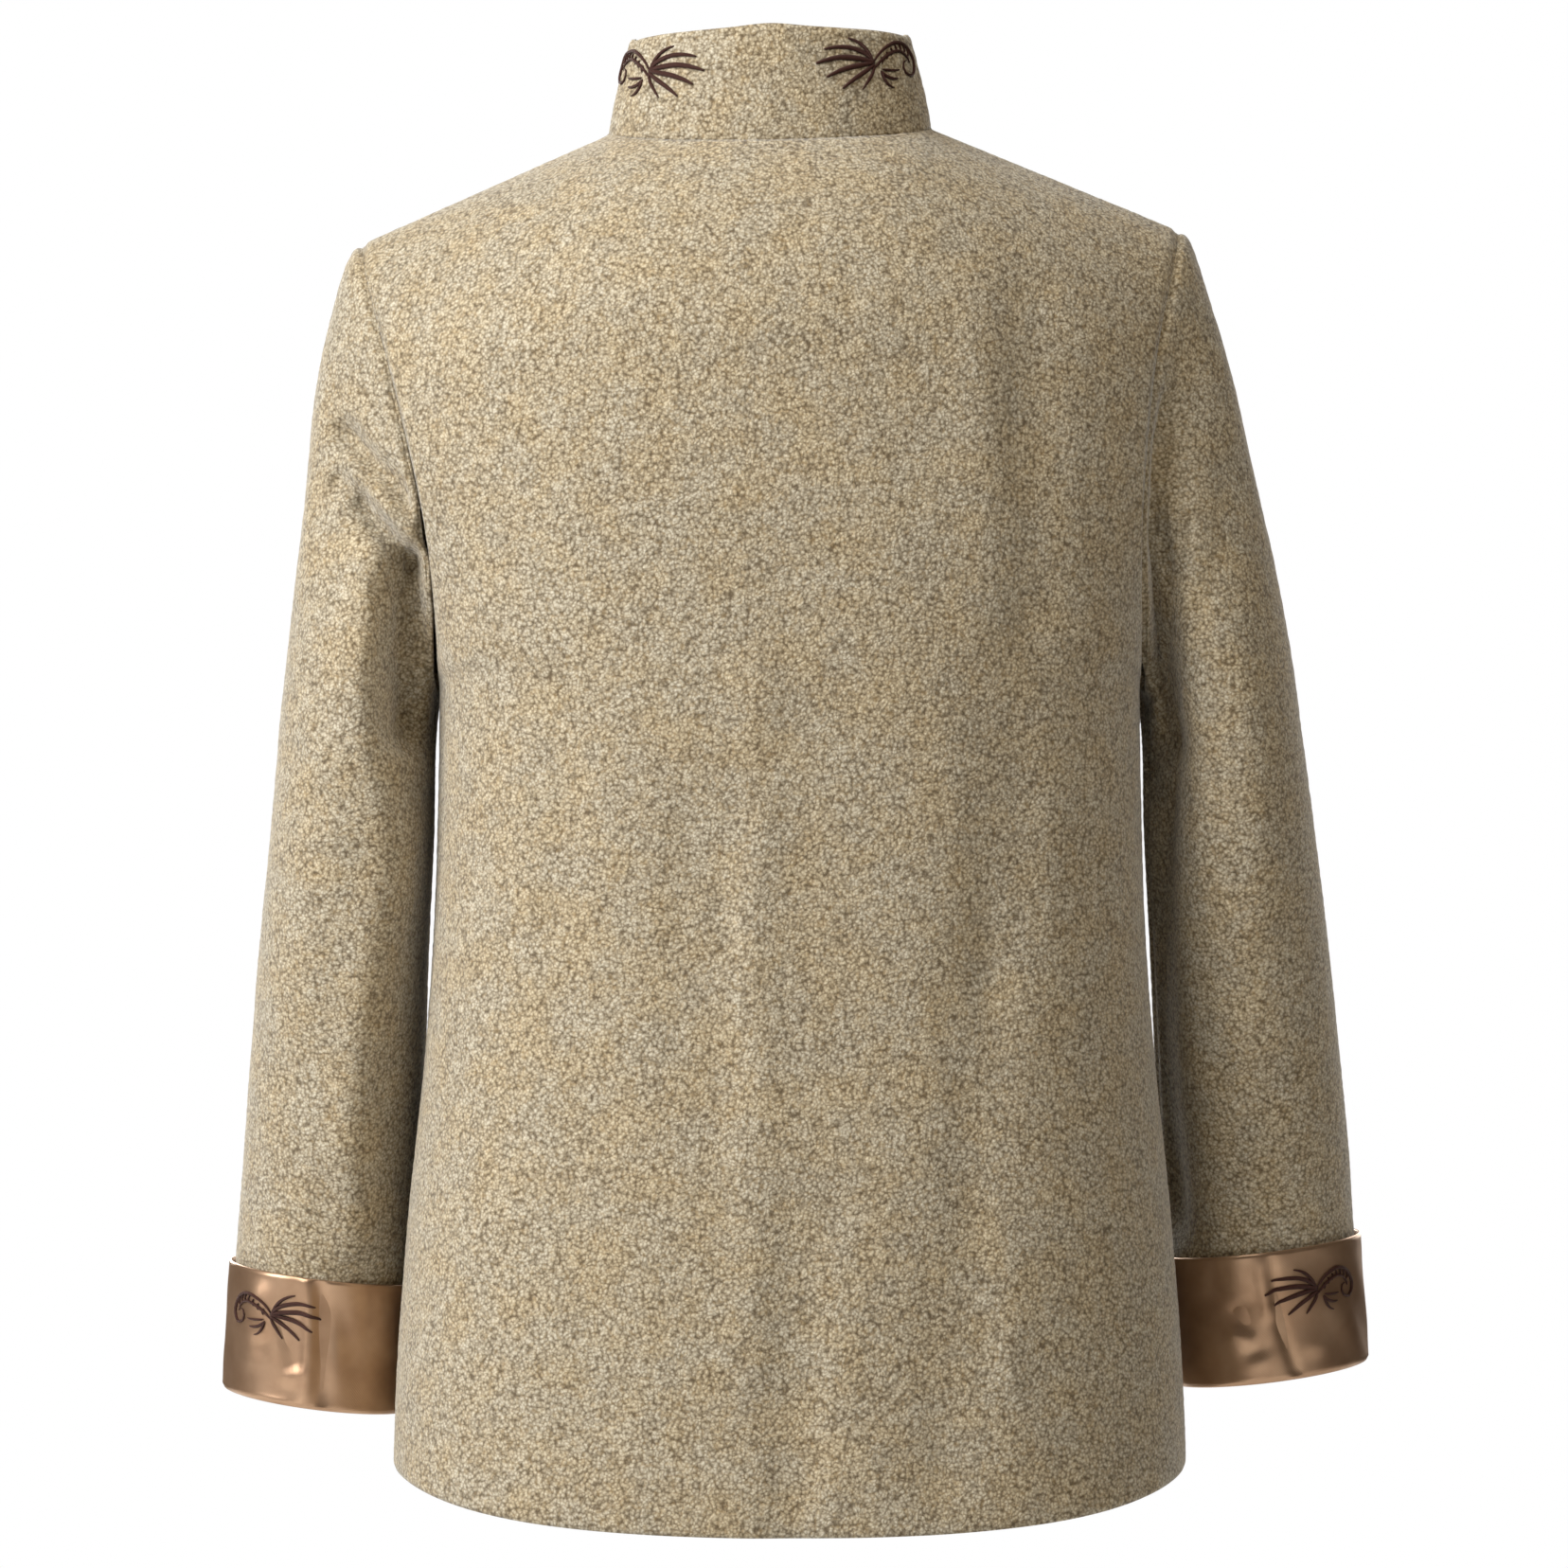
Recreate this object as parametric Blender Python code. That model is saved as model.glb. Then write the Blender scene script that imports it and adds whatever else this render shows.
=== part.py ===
# Stand-collar jacket with turn-back satin cuffs, held in its worn form: hollow, open and empty.
#
# Metres, +Z up. The wearer would face -Y, so +X is the wearer's left. The origin is the middle of
# the neck, level with the points where the shoulder seams meet the collar. Every wall is worked
# out from an outer surface of rows and columns, and its inside lies one cloth thickness behind it.
import functools
import math

import bpy
import numpy as np

# Driving dimensions, in metres
BACK_LENGTH = 0.7395          # neck level to the hem at the centre back
HEM_LIFT = 0.023              # how much higher the hem is at the side seams
FRONT_HEM_LIFT = 0.008        # how much higher the front hem is at the centre
NECK_HALF_WIDTH = 0.0867
NECK_BACK = (0.055, -0.011)   # y and z of the neck seam at the centre back
NECK_FRONT = (-0.078, -0.050)
UNDERARM_LEVEL = -0.300
SHOULDER_BLADE_LEVEL = -0.135  # centre height of the row where the shoulders start to round over
CLOTH = 0.0025                # body and sleeve wall
SEAM_GAP = 0.0002             # each panel stops this far short of its seam
ARMHOLE_GAP = 0.0006          # the sleeve starts this far outside the armhole
FRONT_GAP = 0.0003            # half the gap between the two front edges
LEAN = -0.0105                # the hanging body lies this far to the wearer's right of the neck
LEAN_FROM, LEAN_TO = -0.07, -0.30
ROLL = 0.0170                 # slope of the shoulders, higher on the wearer's right
COLLAR_WALL = 0.003
COLLAR_GAP = 0.0004
CUFF_HEIGHT = 0.069
CUFF_GAP = 0.0005
CUFF_TURN_IN = 0.018          # the cuff goes this far up inside the sleeve
SIDE_Y = -0.004               # where the side seams lie, fore and aft
SECTION_POWER = 2.5           # a superellipse: 2 is an ellipse, more is squarer
BLADE_TURN = 65               # degrees that a row at the shoulder blades turns from its centre to its edge
NECK_BEND, SHOULDER_BEND = 50, 75  # degrees that the top rows bend over at the neck and the shoulder
SMOOTH_EDGE_ANGLE = 50        # degrees past which an edge is shaded sharp

# Numbers of rows and columns in the walls
BACK_COLUMNS = 15             # from the centre back to a side
FRONT_COLUMNS = 14            # from the centre front to a side
NECK_COLUMNS = 6              # how many of those end at the neck seam
SKIRT_ROWS = 12               # hem to underarm
CHEST_ROWS = 7                # underarm to shoulder blade
TOP_ROWS = 6                  # shoulder blade to shoulder seam
CAP_ROWS = 12
COLLAR_ROWS = 4

# The body below the underarm, one row for each level at the centre
BODY_COLUMNS = ("z", "half_width", "back_depth", "front_depth")
BODY = (
    (-0.745, 0.2130, 0.142, 0.140),
    (-0.685, 0.2110, 0.139, 0.139),
    (-0.600, 0.2050, 0.134, 0.136),
    (-0.500, 0.1955, 0.126, 0.133),
    (-0.420, 0.1907, 0.121, 0.131),
    (-0.350, 0.1890, 0.120, 0.131),
    (-0.300, 0.1885, 0.121, 0.132),
)

# The centre lines above the underarm
CENTRE_COLUMNS = ("z", "y")
CENTRE_BACK = ((-0.340, 0.1200), (-0.300, 0.1210), (-0.250, 0.1215), (-0.190, 0.1210), (-0.135, 0.1180))
CENTRE_FRONT = ((-0.340, -0.1310), (-0.300, -0.1320), (-0.250, -0.1310), (-0.190, -0.1270), (-0.135, -0.1170))

# The armhole, from the shoulder point down the back, round the underarm and up the front
ARMHOLE_BACK = (
    (0.2205, -0.008, -0.0560),
    (0.2190, 0.014, -0.0670),
    (0.2150, 0.028, -0.0860),
    (0.2080, 0.041, -0.1150),
    (0.2003, 0.051, -0.1550),
    (0.1948, 0.055, -0.1900),
    (0.1913, 0.049, -0.2235),
    (0.1893, 0.036, -0.2560),
    (0.1885, 0.015, -0.2880),
    (0.1885, -0.010, -0.3000),
)
ARMHOLE_FRONT = (
    (0.2205, -0.008, -0.0560),
    (0.2180, -0.030, -0.0670),
    (0.2125, -0.046, -0.0880),
    (0.2030, -0.060, -0.1180),
    (0.1915, -0.071, -0.1580),
    (0.1845, -0.074, -0.2000),
    (0.1830, -0.064, -0.2450),
    (0.1855, -0.040, -0.2830),
    (0.1885, -0.010, -0.3000),
)

# The outer line of the sleeve head, as the distance from the body's centre
HEAD_COLUMNS = ("z", "outer")
HEAD = ((-0.0560, 0.2205), (-0.075, 0.2285), (-0.105, 0.2388), (-0.135, 0.2472), (-0.195, 0.2572),
        (-0.255, 0.2670), (-0.315, 0.2752), (-0.345, 0.2785))

# The sleeves below the head: distances from the body's centre to the outer and inner lines
SLEEVE_COLUMNS = ("z", "outer_left", "inner_left", "outer_right", "inner_right", "half_depth", "middle_y")
SLEEVE = (
    (-0.345, 0.2778, 0.1922, 0.2798, 0.1915, 0.0640, -0.018),
    (-0.380, 0.2812, 0.1930, 0.2845, 0.1925, 0.0640, -0.022),
    (-0.440, 0.2878, 0.1963, 0.2924, 0.1963, 0.0630, -0.031),
    (-0.500, 0.2936, 0.1988, 0.2996, 0.1996, 0.0620, -0.041),
    (-0.560, 0.2986, 0.2016, 0.3062, 0.2030, 0.0610, -0.052),
    (-0.610, 0.3032, 0.2045, 0.3104, 0.2068, 0.0605, -0.061),
    (-0.690, 0.3102, 0.2105, 0.3182, 0.2135, 0.0600, -0.072),
)
SLEEVE_TOP_RING = -0.345
SLEEVE_END = {"left": -0.6878, "right": -0.6728}
SLEEVE_ROWS = 12
UNDERARM_WAY = (0.30, 0.0, -0.95)  # the way the sleeve leaves the underarm
HEAD_PULL, RING_PULL = 0.45, 0.9   # how far the two ends of the head's curve hold their direction
SEAM_ROWS = 4                      # rows over which a sleeve's folds fade out below the armhole
# How far each ring tips out of level, in degrees, outer side up
TIP_COLUMNS = ("z", "left", "right")
TIP = ((-0.345, 2.0, 3.0), (-0.440, 5.0, 5.0), (-0.560, 7.0, 7.0), (-0.690, 8.0, 8.0))

# The collar band: height from its base and how far it leans in, by the angle round from the back
COLLAR_TABLE_COLUMNS = ("turn", "height", "lean_in")
COLLAR = (
    (0, 0.0624, 0.008),
    (45, 0.0566, 0.010),
    (90, 0.0489, 0.0117),
    (135, 0.0510, 0.014),
    (180, 0.0540, 0.016),
)
COLLAR_CORNER = 0.014         # radius of the top front corners

# The cuff's section, from its top edge down the inside, under the sleeve's end, up into the sleeve and
# back down and up the outside: distance out from the sleeve's outer surface, height above its end
CUFF_WALL = 0.0016
CUFF_INSIDE = -CLOTH - CUFF_GAP
CUFF_MIDDLE = 0.034
CUFF_SECTION = (
    (CUFF_GAP + 0.0030, CUFF_HEIGHT),
    (CUFF_GAP + 0.0014, CUFF_HEIGHT),
    (CUFF_GAP + 0.0008, CUFF_MIDDLE),
    (CUFF_GAP, 0.001),
    (CUFF_GAP - 0.0004, -CUFF_GAP),
    (CUFF_INSIDE + 0.0004, -CUFF_GAP),
    (CUFF_INSIDE, 0.001),
    (CUFF_INSIDE, CUFF_TURN_IN),
    (CUFF_INSIDE - CUFF_WALL, CUFF_TURN_IN),
    (CUFF_INSIDE - CUFF_WALL, 0.0),
    (CUFF_INSIDE - 0.0006, -CUFF_GAP - CUFF_WALL),
    (CUFF_GAP + 0.0008, -CUFF_GAP - CUFF_WALL),
    (CUFF_GAP + 0.0018, 0.0),
    (CUFF_GAP + 0.0026, CUFF_MIDDLE),
)

# The largest folds, as straight troughs in the outer surface seen from behind. A minus depth is a ridge.
FOLD_COLUMNS = ("piece", "x_start", "z_start", "x_end", "z_end", "half_width", "depth")
FOLDS = (
    ("back", -0.136, -0.100, -0.134, -0.270, 0.017, 0.0035),
    ("back", -0.134, -0.270, -0.116, -0.440, 0.018, 0.0035),
    ("back", -0.116, -0.440, -0.092, -0.700, 0.018, 0.0030),
    ("back", -0.020, -0.600, -0.018, -0.760, 0.013, 0.0040),
    ("back", 0.040, -0.370, 0.030, -0.520, 0.015, 0.0025),
    ("back", 0.008, -0.300, 0.004, -0.620, 0.015, -0.0022),
    ("sleeve_left", 0.240, -0.145, 0.204, -0.225, 0.014, 0.0035),
    ("sleeve_left", 0.236, -0.190, 0.216, -0.255, 0.016, 0.0045),
    ("sleeve_left", 0.216, -0.255, 0.208, -0.345, 0.016, 0.0040),
    ("sleeve_right", -0.216, -0.130, -0.208, -0.230, 0.013, 0.0060),
    ("sleeve_right", -0.208, -0.230, -0.200, -0.340, 0.013, 0.0055),
)

# The frogs: heights down the centre front, and the sizes of one
FROG_LEVELS = (-0.070, -0.165, -0.262, -0.359, -0.456, -0.553)
FROG_LENGTH = 0.052
FROG_CORD = 0.0016            # radius of the cord
FROG_RUN_POINTS = 5
KNOT_RADIUS = 0.0046
EYE_RADIUS = 0.0069           # middle of the cord round the knot
EYE_OPENING = 38              # degrees on each side of the loop's mouth
EYE_POINTS = 9
EYE_RISE = 0.0031             # the eye climbs this far to cross over the knot's neck
EYE_START = EYE_RADIUS + 0.006  # where the two runs of the loop part into the eye
FROG_LIFT = 0.0003            # clearance from the cloth
BAR_HALF_WIDTH = 0.0033
BAR_END = -0.0130             # the bar stops here, and its neck carries the knot
NECK_THIN = 0.0011            # radius of the neck, off the cloth
NECK_SECTIONS = ((-0.0104, 0.0021), (-0.0052, 0.0017))  # place and half width
KNOT_ANGLES = (-55, -25, 0, 25, 55, 80)
SLOPE_STEP = 0.003            # distance over which a panel's slope is measured
ROW_SAMPLES = 120             # points from which a row's even spacing is measured


def column(table, names, name, at):
    """Read one named column of a table at a value of its first column, on a smooth curve."""
    keys = [row[0] for row in table]
    values = [row[names.index(name)] for row in table]
    if keys[0] > keys[-1]:
        keys, values = keys[::-1], values[::-1]
    at = min(max(at, keys[0]), keys[-1])
    place = max(i for i in range(len(keys) - 1) if keys[i] <= at)
    def slope(i):
        low, high = max(i - 1, 0), min(i + 1, len(keys) - 1)
        return (values[high] - values[low]) / (keys[high] - keys[low])
    span = keys[place + 1] - keys[place]
    t = (at - keys[place]) / span
    start, end = slope(place) * span, slope(place + 1) * span
    return ((2 * t**3 - 3 * t**2 + 1) * values[place] + (t**3 - 2 * t**2 + t) * start
            + (3 * t**2 - 2 * t**3) * values[place + 1] + (t**3 - t**2) * end)


def ease(t):
    """Go from 0 to 1 with level ends."""
    t = min(max(t, 0.0), 1.0)
    return t * t * (3 - 2 * t)


def smooth_path(points, steps=16):
    """Run a smooth curve through points and return many points of it."""
    points = np.array(points, float)
    ends = np.vstack([2 * points[0] - points[1], points, 2 * points[-1] - points[-2]])
    path = []
    for i in range(len(points) - 1):
        p0, p1, p2, p3 = ends[i:i + 4]
        for t in np.arange(steps) / steps:
            path.append(0.5 * (2 * p1 + (p2 - p0) * t + (2 * p0 - 5 * p1 + 4 * p2 - p3) * t**2
                               + (3 * p1 - p0 - 3 * p2 + p3) * t**3))
    return np.array(path + [points[-1]])


def even_points(path, shares):
    """Return the points of a path at given shares of its length."""
    lengths = np.concatenate([[0], np.cumsum(np.linalg.norm(np.diff(path, axis=0), axis=1))])
    at = np.array(shares) * lengths[-1]
    return np.stack([np.interp(at, lengths, path[:, k]) for k in range(3)], axis=1)


def unit(vectors):
    return vectors / np.linalg.norm(vectors, axis=-1, keepdims=True)


def leaned(points):
    """Give upright points the body's lean and the shoulders' roll."""
    points = np.array(points, float)
    share = np.clip((LEAN_FROM - points[..., 2]) / (LEAN_FROM - LEAN_TO), 0, 1)
    share = share * share * (3 - 2 * share)
    points[..., 2] -= ROLL * points[..., 0] * (1 - share)
    points[..., 0] += LEAN * share
    return points


def panel_row(edge, centre_y, centre_z, turn, power, columns):
    """Lay one row of a body panel from its centre to its edge, evenly spaced."""
    angles = np.linspace(0, turn, ROW_SAMPLES)
    sweep = (np.sin(angles) / math.sin(turn)) ** power
    fall = ((np.cos(angles) - math.cos(turn)) / (1 - math.cos(turn))).clip(0, 1)
    path = np.stack([edge[0] * sweep, edge[1] + (centre_y - edge[1]) * fall ** power,
                     edge[2] + (centre_z - edge[2]) * fall], axis=1)
    return even_points(path, np.linspace(0, 1, columns + 1))


def neck_and_shoulder(columns, neck, shoulder):
    """Lay the top row of a panel: the neck seam, then the shoulder seam."""
    row = []
    for i in range(columns + 1):
        if i < NECK_COLUMNS:
            turn = math.pi / 2 * i / NECK_COLUMNS
            row.append((NECK_HALF_WIDTH * math.sin(turn), neck[0] * math.cos(turn), neck[1] * math.cos(turn)))
        else:
            share = (i - NECK_COLUMNS) / (columns - NECK_COLUMNS)
            start = np.array((NECK_HALF_WIDTH, 0.0, 0.0))
            row.append(tuple(start + share * (np.array(shoulder) - start)))
    return np.array(row)


@functools.lru_cache
def panel_grid(side, columns):
    """Build the outer surface of half the back (side 1) or half the front (side -1), hem to shoulder."""
    back = side > 0
    depth_name = "back_depth" if back else "front_depth"
    power = 2 / SECTION_POWER
    rows = []
    hem_level = -BACK_LENGTH if back else -BACK_LENGTH + FRONT_HEM_LIFT
    hem_lift = HEM_LIFT if back else HEM_LIFT - FRONT_HEM_LIFT
    for i in range(SKIRT_ROWS):
        share = i / SKIRT_ROWS
        level = hem_level + (UNDERARM_LEVEL - hem_level) * share
        width = column(BODY, BODY_COLUMNS, "half_width", level)
        depth = column(BODY, BODY_COLUMNS, depth_name, level)
        edge_y = SIDE_Y + (ARMHOLE_BACK[-1][1] - SIDE_Y) * share
        row = panel_row((width, edge_y, level), side * depth, level, math.pi / 2, power, columns)
        aside = row[:, 0] / width
        row[:, 2] += hem_lift * (1 - share) * (aside ** 2 + aside ** 6) / 2
        rows.append(row)
    edge_path = smooth_path((ARMHOLE_BACK if back else ARMHOLE_FRONT)[::-1])
    edges = even_points(edge_path, np.linspace(0, 1, CHEST_ROWS + TOP_ROWS + 1))
    centre = CENTRE_BACK if back else CENTRE_FRONT
    for i in range(CHEST_ROWS + 1):
        share = i / CHEST_ROWS
        level = UNDERARM_LEVEL + (SHOULDER_BLADE_LEVEL - UNDERARM_LEVEL) * share
        turn = math.radians(90 + (BLADE_TURN - 90) * ease(share))
        rows.append(panel_row(edges[i], column(centre, CENTRE_COLUMNS, "y", level), level, turn,
                              power + (1 - power) * share, columns))
    bend_row = rows[-1]
    top = neck_and_shoulder(columns, NECK_BACK if back else NECK_FRONT, ARMHOLE_BACK[0])
    for i in range(1, TOP_ROWS + 1):
        row = []
        for j in range(columns + 1):
            full = math.radians(NECK_BEND + (SHOULDER_BEND - NECK_BEND) * ease(j / NECK_COLUMNS))
            angle = full * i / TOP_ROWS
            near = (math.cos(angle) - math.cos(full)) / (1 - math.cos(full))
            point = top[j] + (bend_row[j] - top[j]) * near
            point[2] = bend_row[j][2] + (top[j][2] - bend_row[j][2]) * math.sin(angle) / math.sin(full)
            row.append(point)
        row = np.array(row)
        miss = edges[CHEST_ROWS + i] - row[-1]
        shares = np.linspace(0, 1, columns + 1) ** 3
        rows.append(row + shares[:, None] * miss)
    return np.array(rows)


def grid_normals(grid, closed=False):
    """Find the outward normals of a grid of rows and columns."""
    if closed:
        across = np.roll(grid, -1, axis=1) - np.roll(grid, 1, axis=1)
    else:
        across = np.gradient(grid, axis=1)
    along = np.gradient(grid, axis=0)
    return unit(np.cross(across, along))


def fold_displacement(piece, grid, normals, seam_rows=0):
    """Push the named piece's folds into its outer surface where it faces backward.

    They fade out over the rows next to the upper seam, so that the seam stays closed.
    """
    from_seam = np.arange(len(grid))[::-1, None] / max(seam_rows, 1)
    fade = from_seam.clip(0, 1) if seam_rows else 1.0
    result = grid.copy()
    facing = normals[..., 1].clip(0, 1) ** 0.5
    flat = grid[..., (0, 2)]
    for row in FOLDS:
        fold = dict(zip(FOLD_COLUMNS, row))
        if fold["piece"] != piece:
            continue
        start = np.array((fold["x_start"], fold["z_start"]))
        run = np.array((fold["x_end"], fold["z_end"])) - start
        share = (flat - start) @ run / (run @ run)
        nearest = start + share.clip(0, 1)[..., None] * run
        distance = np.linalg.norm(flat - nearest, axis=-1)
        push = fold["depth"] * np.exp(-(distance / fold["half_width"]) ** 2) * facing * fade
        result = result - normals * push[..., None]
    return result


def wall_object(name, outer, inner, material, closed=False):
    """Make one closed solid between an outer and an inner grid of points."""
    rows, columns = outer.shape[:2]
    points = np.concatenate([outer.reshape(-1, 3), inner.reshape(-1, 3)])
    offset = rows * columns
    def at(i, j, layer):
        return layer * offset + i * columns + j % columns
    faces = []
    last = columns if closed else columns - 1
    for i in range(rows - 1):
        for j in range(last):
            faces.append((at(i, j, 0), at(i, j + 1, 0), at(i + 1, j + 1, 0), at(i + 1, j, 0)))
            faces.append((at(i, j, 1), at(i + 1, j, 1), at(i + 1, j + 1, 1), at(i, j + 1, 1)))
    for j in range(last):
        faces.append((at(0, j, 0), at(0, j, 1), at(0, j + 1, 1), at(0, j + 1, 0)))
        faces.append((at(rows - 1, j, 0), at(rows - 1, j + 1, 0), at(rows - 1, j + 1, 1), at(rows - 1, j, 1)))
    if not closed:
        for i in range(rows - 1):
            faces.append((at(i, 0, 0), at(i + 1, 0, 0), at(i + 1, 0, 1), at(i, 0, 1)))
            faces.append((at(i, last, 0), at(i, last, 1), at(i + 1, last, 1), at(i + 1, last, 0)))
    return mesh_object(name, points, faces, material)


def mesh_object(name, points, faces, material):
    mesh = bpy.data.meshes.new(name)
    mesh.from_pydata([tuple(p) for p in points], [], faces)
    mesh.materials.append(material)
    mesh.shade_smooth()
    mesh.set_sharp_from_angle(angle=math.radians(SMOOTH_EDGE_ANGLE))
    piece = bpy.data.objects.new(name, mesh)
    COLLECTION.objects.link(piece)
    return piece


def make_material(name, colour, roughness, sheen=0.0):
    material = bpy.data.materials.new(name)
    material.use_nodes = True
    shader = material.node_tree.nodes["Principled BSDF"]
    shader.inputs["Base Color"].default_value = (*colour, 1)
    shader.inputs["Roughness"].default_value = roughness
    shader.inputs["Sheen Weight"].default_value = sheen
    return material


def shift_seams(grid, side):
    """Draw a panel's side and shoulder edges back from their seams by the seam gap."""
    grid = grid.copy()
    grid[:, -1, 1] += side * SEAM_GAP
    grid[-1, NECK_COLUMNS:, 1] += side * SEAM_GAP
    return grid


def seam_normals(normals):
    """Level the normals at the side and shoulder seams, so that two panels' cut edges stay parallel."""
    normals = normals.copy()
    normals[:SKIRT_ROWS + 1, -1, 1] = 0
    normals[-1, NECK_COLUMNS:, 1] = 0
    normals[:, 0, 0] = 0
    return unit(normals)


def make_back(material):
    half = shift_seams(panel_grid(1, BACK_COLUMNS), 1)
    normals = seam_normals(grid_normals(half) * -1)
    mirror = np.array((-1, 1, 1))
    grid = np.concatenate([half[:, :0:-1], half * mirror], axis=1)
    normals = np.concatenate([normals[:, :0:-1], normals * mirror], axis=1)
    outer = fold_displacement("back", leaned(grid), normals)
    return wall_object("back", outer, outer - normals * CLOTH, material)


def make_front(name, left, material):
    half = panel_grid(-1, FRONT_COLUMNS)
    half = shift_seams(half, -1)
    normals = seam_normals(grid_normals(half))
    half[:, 0, 0] += FRONT_GAP
    if not left:
        mirror = np.array((-1, 1, 1))
        half, normals = half[:, ::-1] * mirror, normals[:, ::-1] * mirror
    outer = leaned(half)
    return wall_object(name, outer, outer - normals * CLOTH, material)


def armhole_loop():
    """Return the armhole's points on the left, the way across the seam at each, and the body's normals."""
    back, front = panel_grid(1, BACK_COLUMNS), panel_grid(-1, FRONT_COLUMNS)
    back_normals = seam_normals(grid_normals(back) * -1)
    front_normals = seam_normals(grid_normals(front))
    points = np.concatenate([back[:SKIRT_ROWS - 1:-1, -1], front[SKIRT_ROWS + 1:-1, -1]])
    normals = np.concatenate([back_normals[:SKIRT_ROWS - 1:-1, -1], front_normals[SKIRT_ROWS + 1:-1, -1]])
    tangents = unit(np.roll(points, -1, axis=0) - np.roll(points, 1, axis=0))
    across = unit(np.cross(tangents, normals))
    return points, across, normals


def underness(turns):
    """Go from 0 at the top of the armhole to 1 at the underarm."""
    return np.array([ease(1 - abs(turn - 0.5) / 0.5) for turn in turns])


def sleeve_ring(level, side, turns):
    """Lay one ring of a sleeve. Turn 0 is the outer side, a quarter turn is the back."""
    outer = column(SLEEVE, SLEEVE_COLUMNS, "outer_" + side, level)
    inner = column(SLEEVE, SLEEVE_COLUMNS, "inner_" + side, level)
    depth = column(SLEEVE, SLEEVE_COLUMNS, "half_depth", level)
    middle_y = column(SLEEVE, SLEEVE_COLUMNS, "middle_y", level)
    tip = math.radians(column(TIP, TIP_COLUMNS, side, level))
    half = (outer - inner) / 2
    angles = 2 * math.pi * turns
    ring = np.zeros((len(turns), 3))
    ring[:, 0] = (outer + inner) / 2 + half * np.cos(angles)
    ring[:, 1] = middle_y + depth * np.sin(angles)
    ring[:, 2] = level + half * np.cos(angles) * math.tan(tip)
    return ring


def sleeve_grid(side):
    """Build a sleeve's outer surface on the left, from its end up to the armhole."""
    loop, across, _ = armhole_loop()
    lengths = np.linalg.norm(np.roll(loop, -1, axis=0) - loop, axis=1)
    turns = np.concatenate([[0], np.cumsum(lengths)[:-1]]) / lengths.sum()
    levels = np.linspace(SLEEVE_TOP_RING, SLEEVE_END[side], SLEEVE_ROWS + 1)
    ring = sleeve_ring(levels[0], side, turns)
    under = underness(turns)
    start = loop + across * ARMHOLE_GAP + under[:, None] ** 4 * np.array((ARMHOLE_GAP, 0, 0))
    way = unit(across * (1 - under)[:, None] + unit(np.array(UNDERARM_WAY)) * under[:, None])
    chord = np.linalg.norm(ring - start, axis=1)[:, None]
    first = way * chord * HEAD_PULL
    last = unit(sleeve_ring(levels[1], side, turns) - ring) * chord * RING_PULL
    rows = []
    for i in range(CAP_ROWS + 1):
        t = i / CAP_ROWS
        row = ((2 * t**3 - 3 * t**2 + 1) * start + (t**3 - 2 * t**2 + t) * first
               + (3 * t**2 - 2 * t**3) * ring + (t**3 - t**2) * last)
        wanted = column(HEAD, HEAD_COLUMNS, "outer", row[0][2])
        weight = np.cos(2 * math.pi * turns).clip(0, 1) ** 2 * math.sin(math.pi * t) ** 0.5
        row[:, 0] += (wanted - row[0][0]) * weight
        rows.append(row)
    for level in levels[1:]:
        rows.append(sleeve_ring(level, side, turns))
    return np.array(rows)[::-1]


def make_sleeve(name, side, material):
    grid = sleeve_grid(side)
    normals = grid_normals(grid, closed=True)
    # At the top of the armhole the two walls' cut edges stay parallel
    body_normals = armhole_loop()[2]
    under = underness(np.arange(len(body_normals)) / len(body_normals))[:, None] ** 0.5
    normals[-1] = unit(normals[-1] * under + body_normals * (1 - under))
    hand = 1 if side == "left" else -1
    mirror = np.array((hand, 1, 1))
    if hand < 0:
        grid, normals = grid[:, ::-1], normals[:, ::-1]
    outer = fold_displacement(name, leaned(grid * mirror), normals * mirror, SEAM_ROWS)
    inner = outer - normals * mirror * CLOTH
    return wall_object(name, outer, inner, material, closed=True)


def make_cuff(name, side, material):
    """Sweep the cuff's section, a J that holds the sleeve's end, round the sleeve."""
    count = 2 * (CHEST_ROWS + TOP_ROWS)
    turns = np.arange(count) / count
    rows = []
    for out, up in CUFF_SECTION:
        ring = sleeve_ring(SLEEVE_END[side] + up, side, turns)
        tangent = np.roll(ring, -1, axis=0) - np.roll(ring, 1, axis=0)
        away = unit(np.cross(tangent, np.array((0.0, 0.0, 1.0))))
        rows.append(ring + away * out)
    grid = np.array(rows)
    hand = 1 if side == "left" else -1
    if hand < 0:
        grid = grid[:, ::-1]
    points = leaned(grid * np.array((hand, 1, 1)))
    parts = len(CUFF_SECTION)
    faces = []
    for i in range(parts):
        for j in range(count):
            a, b = i * count + j, i * count + (j + 1) % count
            c, d = ((i + 1) % parts) * count + (j + 1) % count, ((i + 1) % parts) * count + j
            faces.append((a, b, c, d))
    return mesh_object(name, points.reshape(-1, 3), faces, material)


def neck_point(turn):
    """Return the neck seam's point at an angle round from the centre back, on the wearer's left."""
    angle = math.radians(turn)
    depth, drop = NECK_BACK if turn <= 90 else (-NECK_FRONT[0], NECK_FRONT[1])
    return np.array((NECK_HALF_WIDTH * math.sin(angle), depth * math.cos(angle), drop * abs(math.cos(angle))))


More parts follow.
